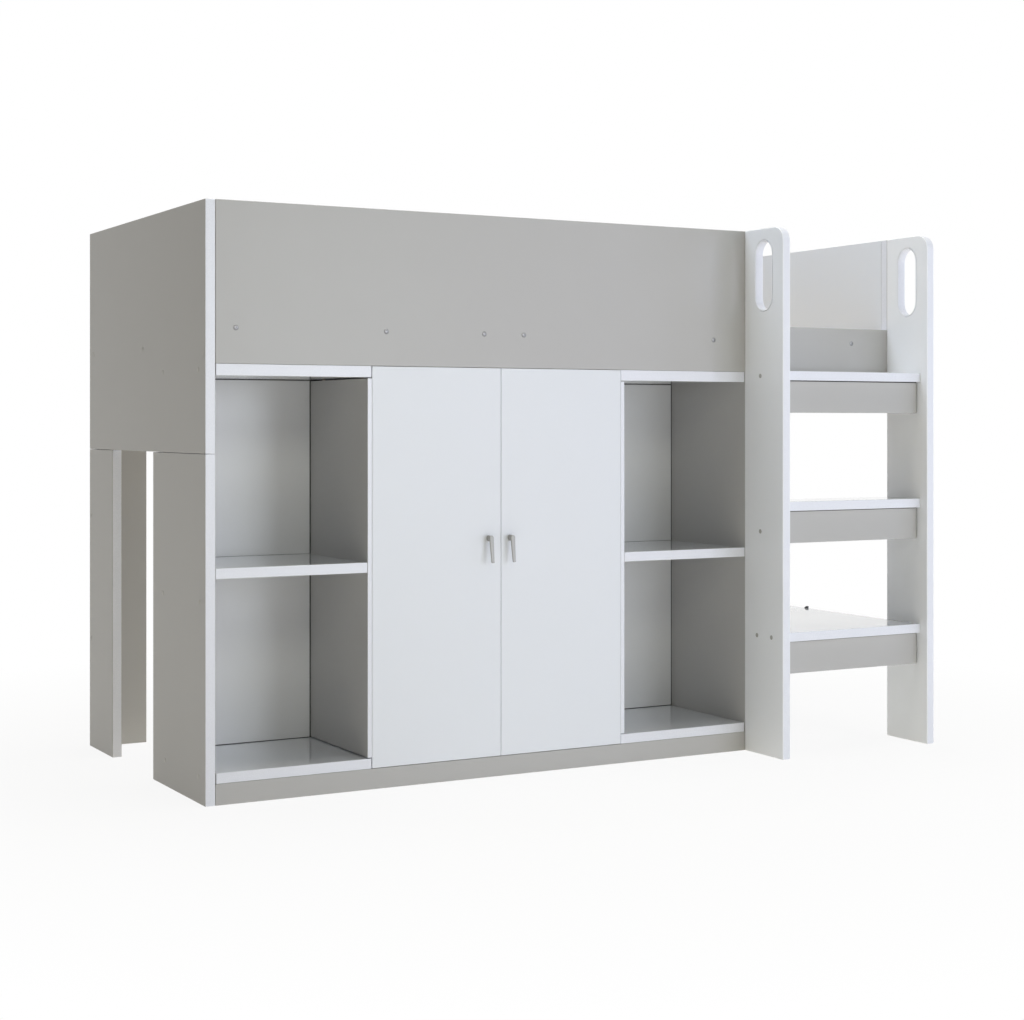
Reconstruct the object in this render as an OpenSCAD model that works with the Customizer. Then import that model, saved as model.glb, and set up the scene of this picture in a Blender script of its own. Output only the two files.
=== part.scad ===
// Cabin bed: a raised single bed on a storage unit, with a step ladder at its right end.
// Every board is a piece of its own. The modules below are drawn in the bed's corner frame:
// X runs right from the outer face of the left end, Y runs back from the front plane and
// Z runs up from the floor. in_place() moves the bed's bottom centre to the origin.

/* [Overall] */
// Length over the two end panels
bed_length = 2062; // [1960:2:2300]
// Depth of the body, from the front plane to the rear face
bed_depth = 956; // [860:2:1200]
// Height of the end panels, guards and ladder
bed_height = 1420; // [1360:2:1560]
// Thickness of the boards
board = 25; // [20:1:28]

/* [Storage unit] */
// Height of the storage unit, which is also the level of the top tread
unit_height = 1035; // [980:1:1070]
// Depth of the storage unit
unit_depth = 391; // [340:1:440]
// Clear width of each open bay
bay_w = 388; // [300:1:420]
// Height of the plinths
plinth_h = 51; // [40:1:80]
// Thickness of the unit's top panel
top_panel_t = 28; // [20:1:32]
// Height of the top of the bay shelves
shelf_top = 555; // [500:1:600]
// Height of the top of the shelf in the cupboard
cupboard_shelf_top = 560; // [500:1:600]
// Gap at each end of the cupboard shelf
shelf_end_gap = 1; // [0.5:0.5:3]
// Thickness of the back panel
back_t = 18; // [8:1:20]
// Back panel's set-in from the unit's rear edge
back_inset = 10; // [0:1:12]

/* [Cupboard doors] */
// Thickness of the doors
door_t = 16; // [15:1:19]
// How far the doors stand proud of the front plane
door_proud = 0.5; // [0:0.5:2]
// Strip of each partition's front edge left beside its door
door_lip = 11; // [8:0.5:12]
// Gap between that strip and the door
door_side_gap = 1.5; // [1.5:0.1:2.5]
// Gap between the two doors
door_meeting_gap = 3.5; // [2:0.5:6]
// Gap above the doors
door_top_gap = 1.2; // [1:0.1:3]
// Gap below the doors
door_bottom_gap = 1.5; // [1:0.1:3]
// Free depth behind the closed doors
door_back_gap = 3.5; // [3.5:0.5:6]

/* [Hinges] */
// Hinge centre from the door's top or bottom edge
hinge_from_edge = 110; // [80:1:160]
// Pin diameter
hinge_pin_d = 3; // [2.6:0.1:3.2]
// Pin axis from the door's outer edge
hinge_pin_in = 8; // [7.5:0.1:8.5]
// Pin axis behind the door's front face
hinge_pin_deep = 4.4; // [4.2:0.1:4.6]
// Height of the arm's strip
hinge_arm_h = 12; // [10:1:16]
// Thickness of the hinge's sheet steel
hinge_metal_t = 2; // [1.6:0.1:2.2]
// Wall of the arm's knuckle round the pin
hinge_knuckle_wall = 1.1; // [0.9:0.1:1.2]
// Height of the plate on the partition and of the leaf on the door
hinge_plate_h = 46; // [40:1:60]
// Length of the plate on the partition
hinge_plate_l = 36; // [30:1:60]
// Length of the leaf on the door, from the pin
hinge_leaf_l = 30; // [26:1:40]
// Free play between the hinge's moving faces
hinge_play = 0.4; // [0.3:0.1:0.6]
// Pin's radial clearance in the arm's knuckle
pin_clearance = 0.05; // [0.02:0.01:0.08]

/* [Door handles] */
// Length of the handle's lever
handle_length = 69; // [60:1:90]
// Height of the top of the handles
handle_top = 612; // [580:1:700]
// Left handle's post from the middle of the doors
left_handle_offset = 36.5; // [22:0.5:60]
// Right handle's post from the middle of the doors
right_handle_offset = 24.5; // [22:0.5:60]
// Diameter of the handle's post
handle_post_d = 10; // [8:0.5:12]
// Length of the post, from the door to the lever
handle_post_l = 15; // [12:1:24]
// Width of the lever at its head
handle_head_w = 12.6; // [12.2:0.1:16]
// Width of the lever at its tip
handle_tip_w = 8.6; // [6:0.1:11]
// Thickness of the lever
handle_lever_t = 5; // [4:0.5:7]
// How far the lever's tip leans away from the door
handle_lean = 8; // [4:0.5:12]

/* [Ladder] */
// Clear width between the uprights
ladder_clear = 473; // [420:1:520]
// How far the uprights stand out in front of the body
ladder_reach = 172; // [150:1:200]
// Radius of the uprights' top front corner
upright_corner_r = 40; // [20:1:45]
// Rise from one tread to the next
step_rise = 351; // [300:1:370]
// Tread's front edge behind the uprights' front edge
tread_set_back = 28; // [10:1:40]
// Riser's face behind the tread's front edge
riser_set_back = 13; // [5:1:25]
// Height of the board under each tread
riser_h = 87; // [60:1:110]
// Width of the grip slot
grip_slot_w = 75; // [50:1:80]
// Length of the grip slot
grip_slot_l = 188; // [130:1:200]
// Wood left above the grip slot
grip_slot_from_top = 33; // [25:1:60]
// Length of the wedge on the lower deck's right edge
edge_block_l = 27; // [20:1:35]
// Width of that wedge
edge_block_w = 12; // [8:1:16]
// Height of that wedge
edge_block_h = 9; // [6:1:12]
// Middle of that wedge behind the front plane
edge_block_y = 371; // [250:1:500]

/* [End panels, guards and legs] */
// Height of the left end panel's lower edge
end_panel_bottom = 823; // [780:1:900]
// Height of the rail at the ladder's entry
entry_rail_h = 127; // [110:1:150]
// Width of the side board of each rear leg
leg_side_w = 217; // [150:1:260]
// Width of the back board of each rear leg
leg_back_w = 129; // [90:1:200]

/* [Mattress support] */
// Height of the cleats and the centre beam
cleat_h = 100; // [90:1:110]
// Number of slats
slat_count = 14; // [10:1:16]
// Width of a slat
slat_w = 70; // [50:1:90]
// Thickness of a slat
slat_t = 18; // [12:1:22]
// First slat from the end panel
slat_end_gap = 40; // [10:1:60]
// Gap between a slat's end and the guards
slat_clearance = 2; // [1:0.5:6]

/* [Fixings] */
// Shank diameter of the panel screws
screw_d = 6; // [5:0.5:7]
// Length of the panel screws' shank and head
screw_l = 48; // [44:1:60]
// Head diameter of the panel screws
screw_head_d = 10; // [9:0.5:11]
// Head height of the panel screws
screw_head_h = 4; // [3:0.5:5]
// Diameter of the caps over the panel screws
cap_d = 12; // [12:0.5:14]
// Depth of the caps' seat in the board
cap_seat = 1.5; // [1:0.1:2]
// How far the caps stand proud
cap_proud = 0.6; // [0.3:0.1:1]
// Head diameter of the guard bolts
bolt_head_d = 13; // [10:0.5:16]
// Head height of the guard bolts
bolt_head_h = 2.5; // [1.5:0.5:4]
// Diameter of the dowels
dowel_d = 8; // [6:1:10]
// Length of the dowels
dowel_l = 30; // [20:2:34]
// Diameter of the shelf pins
shelf_pin_d = 5; // [5:0.5:7]
// Length of the shelf pins
shelf_pin_l = 18; // [14:1:22]
// Shank diameter of the small screws
small_screw_d = 3.5; // [3:0.5:4]
// Head diameter of the small screws
small_head_d = 7.5; // [6:0.5:8]
// Head height of the small screws
small_head_h = 1.5; // [1:0.5:2]
// Side clearance of fixings in their holes
fit = 0.1; // [0.05:0.05:0.2]

/* [Hidden] */

$fn = 48;
over = 1; // how far a cutting shape runs past the face that it cuts

// Colours
panel_grey = "#b8b8b7";
laminate_white = "#dde0e9";
handle_grey = "#5c5b58";
steel = "#a9acb0";
plastic_black = "#26262a";
slat_wood = "#d9c19a";

// Stations along X
storage_w = bed_length - ladder_clear - board;
unit_left = board;
unit_right = storage_w - board;
partition_left = unit_left + bay_w;
partition_right = unit_right - bay_w - board;
cupboard_left = partition_left + board;
cupboard_right = partition_right;
cupboard_mid = (cupboard_left + cupboard_right) / 2;
doorway_left = partition_left + door_lip;
doorway_right = partition_right + board - door_lip;
upright_left = unit_right;
upright_right = bed_length - board;
guard_end = storage_w - board / 2;
inner_left = board;
inner_right = bed_length - board;

// Stations along Y
rear_inner = bed_depth - board;
back_front = unit_depth - back_inset - back_t;
door_front = -door_proud;
door_back = door_front + door_t;
doorway_depth = door_back + door_back_gap;
tread_front = tread_set_back - ladder_reach;
riser_front = tread_front + riser_set_back;
beam_mid = bed_depth / 2;

// Stations along Z
base_top = plinth_h + board;
top_under = unit_height - top_panel_t;
entry_top = unit_height + entry_rail_h;
cleat_top = unit_height + cleat_h;
slat_top = cleat_top + slat_t;
door_bottom = plinth_h + door_bottom_gap;
door_height = unit_height - door_top_gap - door_bottom;
tread_tops = [for (n = [0:2]) unit_height - n * step_rise];
handle_post_z = handle_top - handle_head_w / 2;
grip_slot_z = bed_height - grip_slot_from_top - grip_slot_l / 2;

// Doors and hinges
door_w = (doorway_right - doorway_left - door_meeting_gap) / 2 - door_side_gap;
hinge_x = doorway_left + door_side_gap + hinge_pin_in;
hinge_y = door_front + hinge_pin_deep;
hinge_heights = [door_bottom + hinge_from_edge, door_bottom + door_height - hinge_from_edge];
knuckle_r = hinge_pin_d / 2 + pin_clearance + hinge_knuckle_wall;
leaf_back = door_t - hinge_pin_deep;
ear_inner = hinge_arm_h / 2 + hinge_play;
ear_outer = ear_inner + hinge_metal_t;
arm_turn_y = leaf_back + (door_back_gap - hinge_metal_t) / 2;
arm_plate_x = cupboard_left - hinge_x;
arm_plate_y = doorway_depth - hinge_y + 4;
hinge_screw_z = hinge_plate_h / 2 - small_head_d;
leaf_screw_x = hinge_leaf_l - small_head_d;
hinge_screw_l = 12;

// Places of the panel screws and caps, as [y, z] on an outer face
screw_front_y = 49;
unit_screw_y = unit_depth - 75;
base_mid = plinth_h + board / 2;
top_mid = unit_height - top_panel_t / 2;
cleat_mid = unit_height + cleat_h / 2;
shelf_mid = shelf_top - board / 2;
leg_screw_z = [300, 640];
left_panel_screws = [
    [board / 2, unit_height + 23], [screw_front_y, top_mid], [unit_screw_y, top_mid],
    [beam_mid, cleat_mid], [rear_inner - board / 2, cleat_mid]
];
left_side_screws = [[screw_front_y, base_mid], [unit_depth - 94, base_mid]];
left_side_blanks = [[41, shelf_mid - 68], [unit_depth - 78, shelf_mid - 68]];
leg_screws = [for (z = leg_screw_z) [bed_depth - board / 2, z]];
right_panel_screws = [[beam_mid, cleat_mid], [rear_inner - board / 2, cleat_mid]];
deck_mid = tread_tops[2] - board / 2;
right_leg_deck_screw = [[bed_depth - leg_side_w / 2, deck_mid]];
tread_screw_y = tread_front + 73;
upright_screws = [
    [tread_screw_y, tread_tops[0] - board / 2],
    [tread_front + 23, deck_mid], [tread_front + 88, deck_mid]
];
upright_blanks = [[tread_screw_y, tread_tops[1] - board / 2 - 69]];

// Places of the bolts that hold the front cleat
guard_mid = (inner_left + guard_end) / 2;
bolt_places = [
    75, cupboard_left + 25, guard_mid - 54, guard_mid + 60,
    upright_left - 104, bed_length - 154
];
bolt_d = 6;
bolt_nut_h = 2;
bolt_socket_d = 5;
bolt_socket_deep = 1.5;

// Places of the dowels
dowel_rows = [60, back_front - 60];
pin_rows = [85, back_front - 85];
leg_dowel_rows = [bed_depth - leg_side_w + 50, bed_depth - 60];
end_dowel_rows = concat([60, unit_depth - 60], leg_dowel_rows);
guard_dowel_heights = [for (s = [0.42, 0.78]) unit_height + s * (bed_height - unit_height)];
upright_dowel_heights = [200, 600, 900];
rail_dowel_heights = [unit_height + 25, unit_height + 75];
corner_dowel_heights = [unit_height + 50, unit_height + 100];
tread_dowel_rows = [tread_front + 35, tread_front + 110];
riser_dowel_places = [storage_w + 90, upright_right - 90];
batten_dowel_rows = [60, unit_depth - 60];
batten_ends = [20, unit_depth - 20];
batten_top = tread_tops[2] - board;

// Slats
slat_pitch = (inner_right - inner_left - 2 * slat_end_gap - slat_w) / (slat_count - 1);
slat_places = [for (n = [0:slat_count - 1]) inner_left + slat_end_gap + n * slat_pitch];
slat_screw_bite = 11;
bolt_z = cleat_top - slat_screw_bite - bolt_d / 2 - 1;
rear_screw_end_gap = 150;
rear_screw_pitch = (inner_right - inner_left - 2 * rear_screw_end_gap) / 4;
rear_screw_places = [for (n = [0:4]) inner_left + rear_screw_end_gap + n * rear_screw_pitch];
rear_screw_l = board + 16;

// ---------- helpers ----------

module in_place() translate([-bed_length / 2, (ladder_reach - bed_depth) / 2, 0]) children();

// A board from one corner to the opposite one
module block(low, high) translate(low) cube(high - low);

// Turns a drawing in Y and Z into a board lying across X
module across_x(x, t) translate([x, 0, 0]) rotate([90, 0, 90]) linear_extrude(t) children();

// A cylinder along X, Y or Z from a point
module rod_x(d, l) rotate([0, 90, 0]) cylinder(d = d, h = l);
module rod_y(d, l) rotate([-90, 0, 0]) cylinder(d = d, h = l);

// Repeats a fixing at [y, z] places on an outer face at x; turned = true drives it towards -X
module on_face(places, x, turned = false)
    for (p = places) translate([x, p[0], p[1]]) rotate([0, 0, turned ? 180 : 0]) children();

// Puts the children at the left door's hinges, and mirrored at the right door's
module at_left_hinges() for (z = hinge_heights) translate([hinge_x, hinge_y, z]) children();
module at_right_hinges() mirror_doors() at_left_hinges() children();
module mirror_doors() translate([2 * cupboard_mid, 0, 0]) mirror([1, 0, 0]) children();

// ---------- fixings ----------

// Panel screw along +X, its head under the cap's seat
module panel_screw() {
    translate([cap_seat, 0, 0]) rod_x(screw_head_d, screw_head_h);
    translate([cap_seat, 0, 0]) rod_x(screw_d, screw_l);
}
module cap_bore() translate([-over, 0, 0]) rod_x(cap_d + 2 * fit, cap_seat + over);
module panel_screw_bore() {
    cap_bore();
    rod_x(screw_head_d + 2 * fit, cap_seat + screw_head_h);
    rod_x(screw_d + 2 * fit, cap_seat + screw_l + fit);
}
module cover_cap() translate([-cap_proud, 0, 0]) rod_x(cap_d, cap_seat + cap_proud);

// Small screw along +Y, its head in front of y = 0
module small_screw(l) {
    translate([0, -small_head_h, 0]) rod_y(small_head_d, small_head_h);
    rod_y(small_screw_d, l);
}
module small_bore(l) translate([0, -over, 0]) rod_y(small_screw_d + 2 * fit, l + over + fit);

// Dowels, half in each of the two boards that they join. Each group is drawn by one module,
// with grow = 0 for the dowels and grow = fit for their holes
module dowel_z(grow) cylinder(d = dowel_d + 2 * grow, h = dowel_l + 2 * grow, center = true);
module dowel_x(grow) rotate([0, 90, 0]) dowel_z(grow);
module dowel_y(grow) rotate([90, 0, 0]) dowel_z(grow);

module partition_dowels(grow)
    for (x = [partition_left, partition_right], y = dowel_rows, z = [base_top, top_under])
        translate([x + board / 2, y, z]) dowel_z(grow);
module shelf_dowels(grow)
    for (x = [unit_left, partition_left, partition_right + board, unit_right], y = dowel_rows)
        translate([x, y, shelf_mid]) dowel_x(grow);
module left_end_dowels(grow)
    for (y = end_dowel_rows) translate([board / 2, y, end_panel_bottom]) dowel_z(grow);
module right_end_dowels(grow) {
    for (y = leg_dowel_rows) translate([bed_length - board / 2, y, unit_height]) dowel_z(grow);
    for (z = corner_dowel_heights) translate([bed_length - board / 2, board, z]) dowel_y(grow);
}
module guard_dowels(grow) for (z = guard_dowel_heights) {
    translate([inner_left, board / 2, z]) dowel_x(grow);
    for (x = [inner_left, inner_right]) translate([x, bed_depth - board / 2, z]) dowel_x(grow);
}
module upright_dowels(grow) {
    for (z = upright_dowel_heights) translate([storage_w - board / 2, 0, z]) dowel_y(grow);
    for (z = rail_dowel_heights) translate([bed_length - board / 2, 0, z]) dowel_y(grow);
}
module tread_dowels(grow) {
    for (x = [storage_w, inner_right], y = tread_dowel_rows)
        translate([x, y, tread_tops[1] - board / 2]) dowel_x(grow);
    for (x = riser_dowel_places, top = tread_tops)
        translate([x, riser_front + board / 2, top - board]) dowel_z(grow);
}
module batten_dowels(grow)
    for (y = batten_dowel_rows) translate([storage_w, y, batten_top - board / 2]) dowel_x(grow);

module dowels() color(slat_wood) {
    partition_dowels(0);
    shelf_dowels(0);
    left_end_dowels(0);
    right_end_dowels(0);
    guard_dowels(0);
    upright_dowels(0);
    tread_dowels(0);
    batten_dowels(0);
}

module panel_screws() color(steel) {
    on_face(concat(left_panel_screws, left_side_screws, leg_screws), 0) panel_screw();
    on_face(upright_screws, upright_left) panel_screw();
    on_face(concat(upright_screws, right_panel_screws, leg_screws, right_leg_deck_screw),
            bed_length, true) panel_screw();
}

module cover_caps() color(panel_grey) {
    on_face(concat(left_panel_screws, left_side_screws, left_side_blanks, leg_screws), 0) cover_cap();
    on_face(concat(upright_screws, upright_blanks), upright_left) cover_cap();
    on_face(concat(upright_screws, upright_blanks, right_panel_screws, leg_screws,
                   right_leg_deck_screw), bed_length, true) cover_cap();
}

// Bolts from the front through the guard or entry rail and the front cleat
module at_bolts() for (x = bolt_places) translate([x, 0, bolt_z]) children();
module guard_bolts() color(steel) at_bolts() {
    // Domed head: a slice of a sphere, with a hexagon socket
    difference() {
        intersection() {
            translate([0, dome_r(bolt_head_d, bolt_head_h) - bolt_head_h, 0])
                sphere(r = dome_r(bolt_head_d, bolt_head_h));
            translate([0, -bolt_head_h, 0]) rod_y(bolt_head_d, bolt_head_h);
        }
        translate([0, -bolt_head_h - over, 0]) rotate([-90, 0, 0])
            cylinder(d = bolt_socket_d, h = over + bolt_socket_deep, $fn = 6);
    }
    rod_y(bolt_d, 2 * board + bolt_nut_h);
}
// Radius of the sphere whose slice has this width and height
function dome_r(w, h) = (pow(w / 2, 2) + h * h) / (2 * h);
module guard_bolt_nuts() color(steel) at_bolts() translate([0, 2 * board, 0]) difference() {
    rod_y(bolt_head_d, bolt_nut_h);
    translate([0, -over, 0]) rod_y(bolt_d + 2 * fit, bolt_nut_h + 2 * over);
}
module bolt_bores() at_bolts() translate([0, -over, 0])
    rod_y(bolt_d + 2 * fit, 2 * board + 2 * over);

// ---------- ends, guards and legs ----------

module left_end_panel() color(panel_grey) difference() {
    block([0, 0, end_panel_bottom], [board, bed_depth, bed_height]);
    on_face(left_panel_screws, 0) panel_screw_bore();
    left_end_dowels(fit);
    guard_dowels(fit);
}

module right_end_panel() color(panel_grey) difference() {
    block([inner_right, board, unit_height], [bed_length, bed_depth, bed_height]);
    on_face(right_panel_screws, bed_length, true) panel_screw_bore();
    right_end_dowels(fit);
    guard_dowels(fit);
}

module front_guard() color(panel_grey) difference() {
    block([inner_left, 0, unit_height], [guard_end, board, bed_height]);
    on_face(left_panel_screws, 0) panel_screw_bore();
    bolt_bores();
    guard_dowels(fit);
}

// Low rail, with an upstand that closes the gap between the right upright and the end panel
module entry_rail() color(panel_grey) difference() {
    union() {
        block([guard_end, 0, unit_height], [bed_length, board, entry_top]);
        block([inner_right, 0, unit_height], [bed_length, board, bed_height]);
    }
    bolt_bores();
    upright_dowels(fit);
    right_end_dowels(fit);
}

module rear_guard() color(panel_grey) difference() {
    block([inner_left, rear_inner, unit_height], [inner_right, bed_depth, bed_height]);
    rear_cleat_bores();
    guard_dowels(fit);
}

// The rear corners stand on an L of two boards
module left_leg_side() color(panel_grey) difference() {
    block([0, bed_depth - leg_side_w, 0], [board, bed_depth, end_panel_bottom]);
    on_face(leg_screws, 0) panel_screw_bore();
    left_end_dowels(fit);
}
module left_leg_back() color(panel_grey) difference() {
    block([inner_left, rear_inner, 0], [inner_left + leg_back_w, bed_depth, unit_height]);
    on_face(leg_screws, 0) panel_screw_bore();
}
module right_leg_side() color(panel_grey) difference() {
    block([inner_right, bed_depth - leg_side_w, 0], [bed_length, bed_depth, unit_height]);
    on_face(concat(leg_screws, right_leg_deck_screw), bed_length, true) panel_screw_bore();
    right_end_dowels(fit);
}
module right_leg_back() color(panel_grey) difference() {
    block([inner_right - leg_back_w, rear_inner, 0], [inner_right, bed_depth, unit_height]);
    on_face(leg_screws, bed_length, true) panel_screw_bore();
}

// ---------- storage unit ----------

module storage_left_side() color(panel_grey) difference() {
    block([0, 0, 0], [board, unit_depth, end_panel_bottom]);
    on_face(left_side_screws, 0) panel_screw_bore();
    on_face(left_side_blanks, 0) cap_bore();
    left_end_dowels(fit);
    shelf_dowels(fit);
}

module storage_right_side() color(panel_grey) difference() {
    block([unit_right, 0, 0], [storage_w, unit_depth, unit_height]);
    shelf_dowels(fit);
    upright_dowels(fit);
    batten_dowels(fit);
}

// Top and base run right across, and are cut back behind the doors
module carcass_plan(z, t) translate([0, 0, z]) linear_extrude(t) difference() {
    translate([unit_left, 0]) square([unit_right - unit_left, unit_depth]);
    translate([doorway_left, -over]) square([doorway_right - doorway_left, doorway_depth + over]);
}
module storage_top() color(laminate_white) difference() {
    carcass_plan(top_under, top_panel_t);
    on_face(left_panel_screws, 0) panel_screw_bore();
    partition_dowels(fit);
}
module storage_base() color(laminate_white) difference() {
    carcass_plan(plinth_h, board);
    on_face(left_side_screws, 0) panel_screw_bore();
    partition_dowels(fit);
}

module front_plinth() color(panel_grey) block([unit_left, 0, 0], [unit_right, board, plinth_h]);
module rear_plinth() color(panel_grey)
    block([unit_left, unit_depth - board, 0], [unit_right, unit_depth, plinth_h]);

module storage_back() color(panel_grey)
    block([unit_left, back_front, base_top], [unit_right, back_front + back_t, top_under]);

// Rebated at the front, so that the door's edge sits in the rebate
module left_partition() color(panel_grey) difference() {
    translate([0, 0, base_top]) linear_extrude(top_under - base_top) difference() {
        translate([partition_left, 0]) square([board, back_front]);
        translate([doorway_left, -over]) square([board, doorway_depth + over]);
    }
    partition_dowels(fit);
    shelf_dowels(fit);
    shelf_pin_row(fit);
    at_left_hinges() arm_screw_bores();
}
module right_partition() color(panel_grey) difference() {
    translate([0, 0, base_top]) linear_extrude(top_under - base_top) difference() {
        translate([partition_right, 0]) square([board, back_front]);
        translate([doorway_right - board, -over]) square([board, doorway_depth + over]);
    }
    partition_dowels(fit);
    shelf_dowels(fit);
    shelf_pin_row(fit);
    at_right_hinges() arm_screw_bores();
}

module left_bay_shelf() color(laminate_white) difference() {
    block([unit_left, 0, shelf_top - board], [partition_left, back_front, shelf_top]);
    shelf_dowels(fit);
}
module right_bay_shelf() color(laminate_white) difference() {
    block([partition_right + board, 0, shelf_top - board], [unit_right, back_front, shelf_top]);
    shelf_dowels(fit);
}
module cupboard_shelf() color(laminate_white)
    block([cupboard_left + shelf_end_gap, doorway_depth, cupboard_shelf_top - board],
          [cupboard_right - shelf_end_gap, back_front, cupboard_shelf_top]);

// Steel pins half in the partitions, with the cupboard shelf lying on them
shelf_pin_z = cupboard_shelf_top - board - shelf_pin_d / 2;
module shelf_pin_row(grow) for (x = [cupboard_left, cupboard_right], y = pin_rows)
    translate([x - shelf_pin_l / 2 - grow, y, shelf_pin_z])
        rod_x(shelf_pin_d + 2 * grow, shelf_pin_l + 2 * grow);
module shelf_pins() color(steel) shelf_pin_row(0);

// ---------- doors ----------

module door_blank() block([doorway_left + door_side_gap, door_front, door_bottom],
    [doorway_left + door_side_gap + door_w, door_back, door_bottom + door_height]);

// Pocket for the arm and the leaf's ears, open at the door's back and outer edge
module hinge_pocket() {
    block([-hinge_pin_in - over, -knuckle_r - hinge_play, -ear_outer],
          [knuckle_r + hinge_play, leaf_back + over, ear_outer]);
    block([-hinge_pin_in - over, leaf_back - hinge_metal_t, -hinge_plate_h / 2],
          [hinge_leaf_l + fit, leaf_back + over, hinge_plate_h / 2]);
    leaf_screw_bores();
}
module at_leaf_screws() for (z = [-1, 1] * hinge_screw_z)
    translate([leaf_screw_x, leaf_back, z]) mirror([0, 1, 0]) children();
module leaf_screw_bores() at_leaf_screws() small_bore(hinge_screw_l);

module left_door() color(laminate_white) difference() {
    door_blank();
    at_left_hinges() hinge_pocket();
    at_left_handle() handle_screw_bore();
}
module right_door() color(laminate_white) difference() {
    mirror_doors() door_blank();
    at_right_hinges() hinge_pocket();
    at_right_handle() handle_screw_bore();
}

// Hinge leaf on the door: a plate with a window for the arm, and two ears that hold the pin
module hinge_leaf() difference() {
    union() {
        block([-hinge_pin_in, leaf_back - hinge_metal_t, -hinge_plate_h / 2],
              [hinge_leaf_l, leaf_back, hinge_plate_h / 2]);
        for (z = [-ear_outer, ear_inner])
            block([-knuckle_r, -knuckle_r, z], [knuckle_r, leaf_back, z + hinge_metal_t]);
    }
    block([-hinge_pin_in - over, -knuckle_r - over, -ear_inner],
          [knuckle_r + hinge_play, leaf_back + over, ear_inner]);
    cylinder(d = hinge_pin_d, h = 2 * ear_outer + over, center = true);
    leaf_screw_bores();
}
module left_hinge_leaves() color(steel) at_left_hinges() hinge_leaf();
module right_hinge_leaves() color(steel) at_right_hinges() hinge_leaf();

module hinge_pin() cylinder(d = hinge_pin_d, h = 2 * ear_outer, center = true);
module left_hinge_pins() color(steel) at_left_hinges() hinge_pin();
module right_hinge_pins() color(steel) at_right_hinges() hinge_pin();

// Cranked arm: a knuckle on the pin, a strip back out of the door, a turn behind it
// and a plate screwed to the partition
module hinge_arm() difference() {
    union() {
        cylinder(r = knuckle_r, h = hinge_arm_h, center = true);
        translate([0, 0, -hinge_arm_h / 2]) linear_extrude(hinge_arm_h) union() {
            translate([-hinge_metal_t / 2, 0]) square([hinge_metal_t, arm_turn_y + hinge_metal_t]);
            translate([-hinge_metal_t / 2, arm_turn_y])
                square([arm_plate_x + 1.5 * hinge_metal_t, hinge_metal_t]);
            translate([arm_plate_x, arm_turn_y]) square([hinge_metal_t, arm_plate_y + 1 - arm_turn_y]);
        }
        block([arm_plate_x, arm_plate_y, -hinge_plate_h / 2],
              [arm_plate_x + hinge_metal_t, arm_plate_y + hinge_plate_l, hinge_plate_h / 2]);
    }
    cylinder(d = hinge_pin_d + 2 * pin_clearance, h = hinge_arm_h + over, center = true);
    arm_screw_bores();
}
module left_hinge_arms() color(steel) at_left_hinges() hinge_arm();
module right_hinge_arms() color(steel) at_right_hinges() hinge_arm();

// Screws through the arm's plate into the partition, along -X from the plate's face
module at_arm_screws() for (z = [-1, 1] * hinge_screw_z)
    translate([arm_plate_x + hinge_metal_t, arm_plate_y + hinge_plate_l / 2, z])
        rotate([0, 0, 90]) children();
module arm_screw_bores() at_arm_screws() small_bore(hinge_screw_l);
module hinge_arm_screws() color(steel) {
    at_left_hinges() at_arm_screws() small_screw(hinge_screw_l);
    at_right_hinges() at_arm_screws() small_screw(hinge_screw_l);
}
module left_leaf_screws() color(steel) at_left_hinges() at_leaf_screws() small_screw(hinge_screw_l);
module right_leaf_screws() color(steel) at_right_hinges() at_leaf_screws() small_screw(hinge_screw_l);

// ---------- handles ----------

module at_left_handle()
    translate([cupboard_mid - left_handle_offset, door_front, handle_post_z]) children();
module at_right_handle()
    translate([cupboard_mid + right_handle_offset, door_front, handle_post_z]) children();

handle_steps = 8;
lever_drop = handle_length - handle_head_w / 2 - handle_tip_w / 2;
// The lever's inner face leans out along a rising curve, from head to tip
function lean_at(s) = -handle_post_l - handle_lean * pow(s, 1.4);
function drop_at(s) = handle_head_w / 2 - s * handle_length;

// Tapered lever: its front outline and its side outline, each extruded, meet
lever_reach = handle_post_l + handle_lean + handle_lever_t;
module lever() intersection() {
    translate([0, over, 0]) rotate([90, 0, 0]) linear_extrude(lever_reach + 2 * over) {
        circle(d = handle_head_w);
        translate([0, -lever_drop]) circle(d = handle_tip_w);
        polygon([
            [-handle_head_w / 2, 0], [handle_head_w / 2, 0],
            [handle_tip_w / 2, -lever_drop], [-handle_tip_w / 2, -lever_drop]
        ]);
    }
    across_x(-handle_head_w, 2 * handle_head_w) polygon(concat(
        [for (n = [0:handle_steps]) [lean_at(n / handle_steps), drop_at(n / handle_steps)]],
        [for (n = [handle_steps:-1:0])
            [lean_at(n / handle_steps) - handle_lever_t, drop_at(n / handle_steps)]]
    ));
}
handle_screw_d = 4;
handle_screw_bite = 9;
module handle() difference() {
    union() {
        lever();
        translate([0, -handle_post_l - handle_lever_t / 2, 0])
            rod_y(handle_post_d, handle_post_l + handle_lever_t / 2);
    }
    translate([0, -handle_screw_bite - fit, 0])
        rod_y(handle_screw_d + 2 * fit, handle_screw_bite + fit + over);
}
module handle_screw() {
    translate([0, -handle_screw_bite, 0]) rod_y(handle_screw_d, handle_screw_bite + door_t);
    translate([0, door_t, 0]) rod_y(small_head_d, small_head_h);
}
module handle_screw_bore() translate([0, -over, 0]) rod_y(handle_screw_d + 2 * fit, door_t + 2 * over);
module left_handle() color(handle_grey) at_left_handle() handle();
module right_handle() color(handle_grey) at_right_handle() handle();
module left_handle_screw() color(steel) at_left_handle() handle_screw();
module right_handle_screw() color(steel) at_right_handle() handle_screw();

// ---------- ladder and lower deck ----------

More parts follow.
